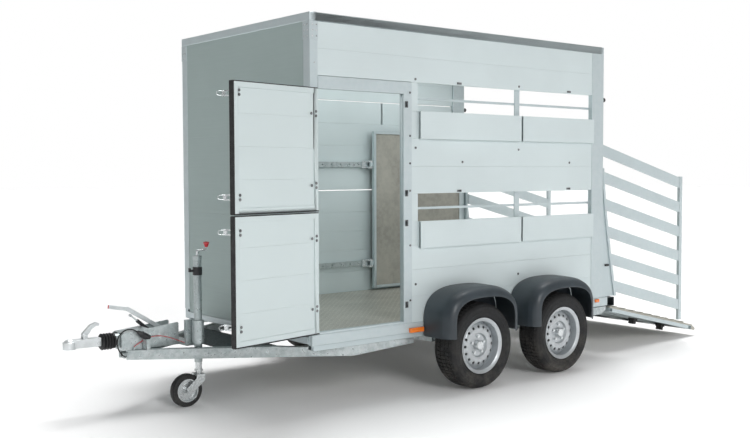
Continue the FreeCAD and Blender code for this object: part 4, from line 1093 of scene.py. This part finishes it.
class TRAILER_OT_mudguards(bpy.types.Operator):
    """Moulded mudguards with a flared rim"""

    bl_idname = "trailer.mudguards"
    bl_label = "Mudguards"

    def execute(self, context):
        made = []
        for wheel, (x, y) in WHEELS.items():
            side = 1 if y > 0 else -1
            made += [self.guard(x + GUARD_SHIFT, side), self.liner(x + GUARD_SHIFT, side)]
        fit(joined("mudguard_shells", made), "Moulded guard", "mudguards")
        return {"FINISHED"}

    def guard(self, x, side):
        """A section spun half round, shaped to the arch, with straight ends and a wall."""
        centre = place(x, 0, GUARD_TURN)
        points = [centre + Vector((-(GUARD_HALF - inset), side * y, 0))
                  for y, inset in GUARD_SECTION]
        shell = lathe("guard", points, centre, (0, 1, 0), 40, False, math.pi)
        if max(vertex.co.z for vertex in shell.data.vertices) < centre.z + 0.1:
            for vertex in shell.data.vertices:
                vertex.co.z = 2 * centre.z - vertex.co.z
        rise = (GUARD_TOP - GUARD_TURN) / GUARD_HALF
        for vertex in shell.data.vertices:
            dx, dz = vertex.co.x - centre.x, max(0.0, vertex.co.z - centre.z)
            reach = math.hypot(dx, dz)
            inset = GUARD_HALF - reach
            c, s = dx / reach, dz / reach
            vertex.co.x = centre.x + math.copysign(abs(c) ** GUARD_SQUARE, c) * reach
            vertex.co.z = centre.z + s ** GUARD_SQUARE * (GUARD_HALF * rise - inset)
        self.legs(shell, centre)
        heal(shell)
        if not self.outward(shell, centre):
            edit(shell)
            bpy.ops.mesh.flip_normals()
            leave_edit()
        apply_modifier(shell, "SOLIDIFY", thickness=GUARD_WALL, offset=-1.0)
        apply_modifier(shell, "SUBSURF", levels=1, render_levels=1)
        smooth(shell, 60.0)
        return shell

    def liner(self, x, side):
        """Flat sheet that closes the arch against the body."""
        centre = place(x, side * 0.7764, GUARD_TURN)
        outline = []
        for step in range(29):
            angle = math.pi * (1 - step / 28)
            c, s = math.cos(angle), abs(math.sin(angle))
            outline.append(centre + Vector((math.copysign(abs(c) ** GUARD_SQUARE, c)
                                            * (GUARD_HALF - 0.006), 0,
                                            s ** GUARD_SQUARE * (GUARD_TOP - GUARD_TURN - 0.006))))
        return prism("liner", outline, (0, side * 0.0025, 0))

    def legs(self, shell, centre):
        """Draw both ends of the arch straight down."""
        bpy.context.tool_settings.mesh_select_mode = (False, True, False)
        edit(shell)
        bpy.ops.mesh.select_all(action="DESELECT")
        leave_edit()
        for edge in shell.data.edges:
            ends = [shell.data.vertices[i].co for i in edge.vertices]
            edge.select = all(abs(end.z - centre.z) < 1e-4 for end in ends)
        bpy.ops.object.mode_set(mode="EDIT")
        for step in range(3):
            bpy.ops.mesh.extrude_region_move(
                TRANSFORM_OT_translate={"value": (0, 0, (GUARD_FOOT - GUARD_TURN) / 3)})
        leave_edit()

    def outward(self, shell, centre):
        """True if the highest faces point up."""
        top = max(shell.data.polygons, key=lambda face: face.center.z)
        return top.normal.z > 0


# ------------------------------------------------------------------ chassis and coupling
class TRAILER_OT_chassis(bpy.types.Operator):
    """Chassis frame, drawbar, sills and floor"""

    bl_idname = "trailer.chassis"
    bl_label = "Chassis"

    def execute(self, context):
        fit_finer("chassis_frame", "Galvanised steel", 0.003, 2)
        drawbar = fit_finer("drawbar", "Galvanised steel", 0.003, 2)
        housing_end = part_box("overrun_housing")[1].x
        top = DATUM + 0.3305
        # The top of the drawbar behind the overrun housing is painted dark.
        paint(drawbar, "Dark sheet", lambda spot: spot.x > housing_end and top - 0.009 < spot.z < top
              and abs(spot.y) < 0.30)
        fit_finer("sill_rails", "Aluminium rail", sizes().profile_edge, 3)
        fit_finer("floor_plate", "Tread plate", 0.001, 1)
        fit_finer("drawbar_fittings", "Galvanised steel", 0.0015, 2)
        return {"FINISHED"}


BELLOWS_START, BELLOWS_END = -0.984, -0.8955
BELLOWS_FOLDS = 4
TUBE_HEIGHT = 0.400


class TRAILER_OT_coupling(bpy.types.Operator):
    """Ball coupling, its handle, the bellows and the overrun housing"""

    bl_idname = "trailer.coupling"
    bl_label = "Coupling"

    def execute(self, context):
        self.head()
        fit_finer("coupling_handle", "Plated casting", 0.003, 3)
        fit_finer("drawtube", "Bright zinc", 0.002, 2)
        fit_finer("overrun_housing", "Galvanised steel", 0.0025, 2)
        self.bellows()
        return {"FINISHED"}

    def head(self):
        """The pressed head, its corners run together as on a casting."""
        head = finer("coupling_head", 0.0, 1, "coupling_head_casting")
        apply_modifier(head, "REMESH", mode="VOXEL", voxel_size=0.0016)
        apply_modifier(head, "SMOOTH", factor=0.5, iterations=7)
        smooth(head, 60.0)
        fit(head, "Plated casting", "coupling_head")

    def bellows(self):
        """Folded rubber round the drawtube."""
        span = BELLOWS_END - BELLOWS_START
        steps = BELLOWS_FOLDS * 8
        outer = []
        for i in range(steps + 1):
            turn = 2 * math.pi * BELLOWS_FOLDS * i / steps
            swell = 0.5 - 0.5 * math.cos(turn)
            base = 0.034 + 0.006 * min(1.0, 3.0 * i / steps)
            outer.append((BELLOWS_START + 0.004 + (span - 0.018) * i / steps,
                          base + (0.0495 - base) * swell ** 0.7))
        profile = [(BELLOWS_START, 0.0268), (BELLOWS_START, 0.034)] + outer
        profile += [(BELLOWS_END - 0.012, 0.045), (BELLOWS_END, 0.045), (BELLOWS_END, 0.0268)]
        centre = place(0, 0, TUBE_HEIGHT)
        boot = lathe("rubber_bellows", [place(x, 0, TUBE_HEIGHT + r) for x, r in profile], centre,
                     (1, 0, 0), 72)
        smooth(boot, 50.0)
        fit(boot, "Black rubber", "bellows")
        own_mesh(boot)


class TRAILER_OT_handbrake(bpy.types.Operator):
    """Handbrake lever with its red end, and the gas strut"""

    bl_idname = "trailer.handbrake"
    bl_label = "Handbrake"

    def execute(self, context):
        lever = fit_finer("handbrake_lever", "Plated casting", 0.003, 3)
        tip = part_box("handbrake_lever")[0].x
        paint(lever, "Red plastic", lambda spot: spot.x < tip + 0.022)
        fit_finer("strut_cylinder", "Dark plastic", 0.001, 2)
        fit_finer("strut_rod", "Bright zinc", 0.001, 2)
        return {"FINISHED"}


JOCKEY_X, JOCKEY_Y = -0.435, -0.192
JOCKEY_RADIUS, JOCKEY_RIM_RADIUS = 0.100, 0.0702
KNOB_FOOT = 0.9428


class TRAILER_OT_jockey(bpy.types.Operator):
    """Jockey wheel: tubes, crank, knob, clip, fork and wheel"""

    bl_idname = "trailer.jockey"
    bl_label = "Jockey wheel"

    def execute(self, context):
        fit_finer("jockey_outer_tube", "Galvanised steel", 0.001, 2)
        fit_finer("jockey_inner_tube", "Bright zinc", 0.001, 2)
        crank = fit_finer("jockey_crank", "Bright zinc")
        paint(crank, "Red plastic", lambda spot: spot.z > DATUM + KNOB_FOOT)
        fit_finer("jockey_fork", "Bright zinc", 0.0012, 2)
        wheel = fit_finer("jockey_wheel", "Black rubber")
        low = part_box("jockey_wheel")[0]
        axle_x, axle_z = low.x + JOCKEY_RADIUS, low.z + JOCKEY_RADIUS
        paint(wheel, "Bright zinc",
              lambda spot: math.hypot(spot.x - axle_x, spot.z - axle_z) < JOCKEY_RIM_RADIUS)
        self.clip()
        return {"FINISHED"}

    def clip(self):
        """Black band round the tube with the arm that holds the crank."""
        centre = place(JOCKEY_X, JOCKEY_Y, 0.80)
        band = lathe("band", [centre + Vector((r, 0, z)) for r, z in
                              ((0.0242, -0.025), (0.0242, 0.025), (0.0275, 0.025), (0.0290, 0.022),
                               (0.0290, -0.022), (0.0275, -0.025))], centre, (0, 0, 1), 48)
        arm = block("arm", centre + Vector((-0.058, -0.007, -0.004)),
                    centre + Vector((-0.026, 0.007, 0.010)))
        nub = block("nub", centre + Vector((-0.058, -0.008, -0.004)),
                    centre + Vector((-0.048, 0.008, 0.020)))
        for part in (band, arm, nub):
            rounded(part, 0.001, 2)
        clip = joined("jockey_clip", [band, arm, nub])
        fit(clip, "Dark plastic", body="jockey_outer", slot="black_plastic")


# ------------------------------------------------------------------ inside, rear, small pieces
DIVIDER_START, DIVIDER_RIM, BOARD_HALF = 1.664, 0.022, 0.008


class TRAILER_OT_interior(bpy.types.Operator):
    """Perforated rails, divider and its carriage"""

    bl_idname = "trailer.interior"
    bl_label = "Interior"

    def execute(self, context):
        fit_finer("divider_rails", "Galvanised steel", 0.0)
        fit_finer("divider_carriage", "Bright zinc", 0.0015, 2)
        divider = fit_finer("divider", "Aluminium profile", 0.002, 2)
        low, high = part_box("divider")
        middle = (low.y + high.y) / 2
        start = FRONT + DIVIDER_START + DIVIDER_RIM

        def board(spot):
            return (start - 0.001 < spot.x < high.x - DIVIDER_RIM + 0.001
                    and abs(spot.y - middle) < BOARD_HALF + 0.0002
                    and low.z + DIVIDER_RIM - 0.001 < spot.z < high.z - DIVIDER_RIM + 0.001)

        paint(divider, "Faced board", board)
        return {"FINISHED"}


RAMP_HINGE, RAMP_SLOPE = (2.915, 0.0, 0.325), 12.9
RAMP_UNDERSIDE = -0.0262                     # faces under this, square to the ramp, are painted black


class TRAILER_OT_ramp(bpy.types.Operator):
    """Loading ramp and its side gates"""

    bl_idname = "trailer.ramp"
    bl_label = "Ramp and gates"

    def execute(self, context):
        fit_finer("ramp_boards", "Tread plate", 0.0015, 2)
        ramp = fit_finer("ramp_frame", "Aluminium rail", 0.0015, 2)
        hinge, slope = place(*RAMP_HINGE), math.radians(RAMP_SLOPE)

        def below_underside(spot):
            away = spot - hinge
            return away.x * math.sin(slope) + away.z * math.cos(slope) < RAMP_UNDERSIDE

        # Faces under the ramp's underside are painted black.
        paint(ramp, "Black rubber", below_underside)
        fit_finer("gate_left", "Aluminium rail", 0.0025, 3)
        fit_finer("gate_right", "Aluminium rail", 0.0025, 3)
        return {"FINISHED"}


BUMPER_CORNER = (2.796, 0.0, 0.430)          # upper front corner of the bumper beam


class TRAILER_OT_rear(bpy.types.Operator):
    """Rear frame, fairings, lamps and fasteners"""

    bl_idname = "trailer.rear"
    bl_label = "Rear end and fittings"

    def execute(self, context):
        rear = fit_finer("rear_frame", "Galvanised steel", 0.0025, 2)
        bumper = place(*BUMPER_CORNER)
        # The bumper beam, behind and below its upper front corner, is painted dark as painted shade.
        paint(rear, "Dark sheet", lambda spot: spot.x > bumper.x and spot.z < bumper.z)
        fit_finer("rear_fairings", "Aluminium profile", 0.002, 2)
        lamps = fit_finer("marker_lamps", "Amber lens", 0.003, 3)
        paint(lamps, "Dark plastic", lambda spot: spot.z > DATUM + 0.66)
        fit_finer("wall_fasteners", "Dark bolt", 0.0012, 2)
        return {"FINISHED"}


# ------------------------------------------------------------------ panel and registration
STEPS = ("stage", "cords", "walls", "roof", "posts", "slots", "doors", "wheels", "mudguards",
         "chassis", "coupling", "handbrake", "jockey", "interior", "ramp", "rear")


class TRAILER_PT_panel(bpy.types.Panel):
    """Lists the steps, the sizes and the colours"""

    bl_idname = "TRAILER_PT_panel"
    bl_label = "Livestock trailer"
    bl_space_type = "VIEW_3D"
    bl_region_type = "UI"
    bl_category = "Trailer"

    def draw(self, context):
        for step in STEPS:
            self.layout.operator("trailer." + step)
        for owner in (context.scene.trailer_sizes, context.scene.trailer_colours):
            for key in owner.__annotations__:
                self.layout.prop(owner, key)


CLASSES = (TrailerSizes, TrailerColours, TRAILER_OT_stage, TRAILER_OT_cords, TRAILER_OT_walls,
           TRAILER_OT_roof, TRAILER_OT_posts, TRAILER_OT_slots, TRAILER_OT_doors,
           TRAILER_OT_wheels, TRAILER_OT_mudguards, TRAILER_OT_chassis, TRAILER_OT_coupling,
           TRAILER_OT_handbrake, TRAILER_OT_jockey, TRAILER_OT_interior, TRAILER_OT_ramp,
           TRAILER_OT_rear, TRAILER_PT_panel)


def register():
    for cls in CLASSES:
        bpy.utils.register_class(cls)
    bpy.types.Scene.trailer_sizes = PointerProperty(type=TrailerSizes)
    bpy.types.Scene.trailer_colours = PointerProperty(type=TrailerColours)


def unregister():
    del bpy.types.Scene.trailer_colours
    del bpy.types.Scene.trailer_sizes
    for cls in reversed(CLASSES):
        bpy.utils.unregister_class(cls)


def main():
    register()
    for step in STEPS:
        getattr(bpy.ops.trailer, step)()


if __name__ == "__main__":
    main()
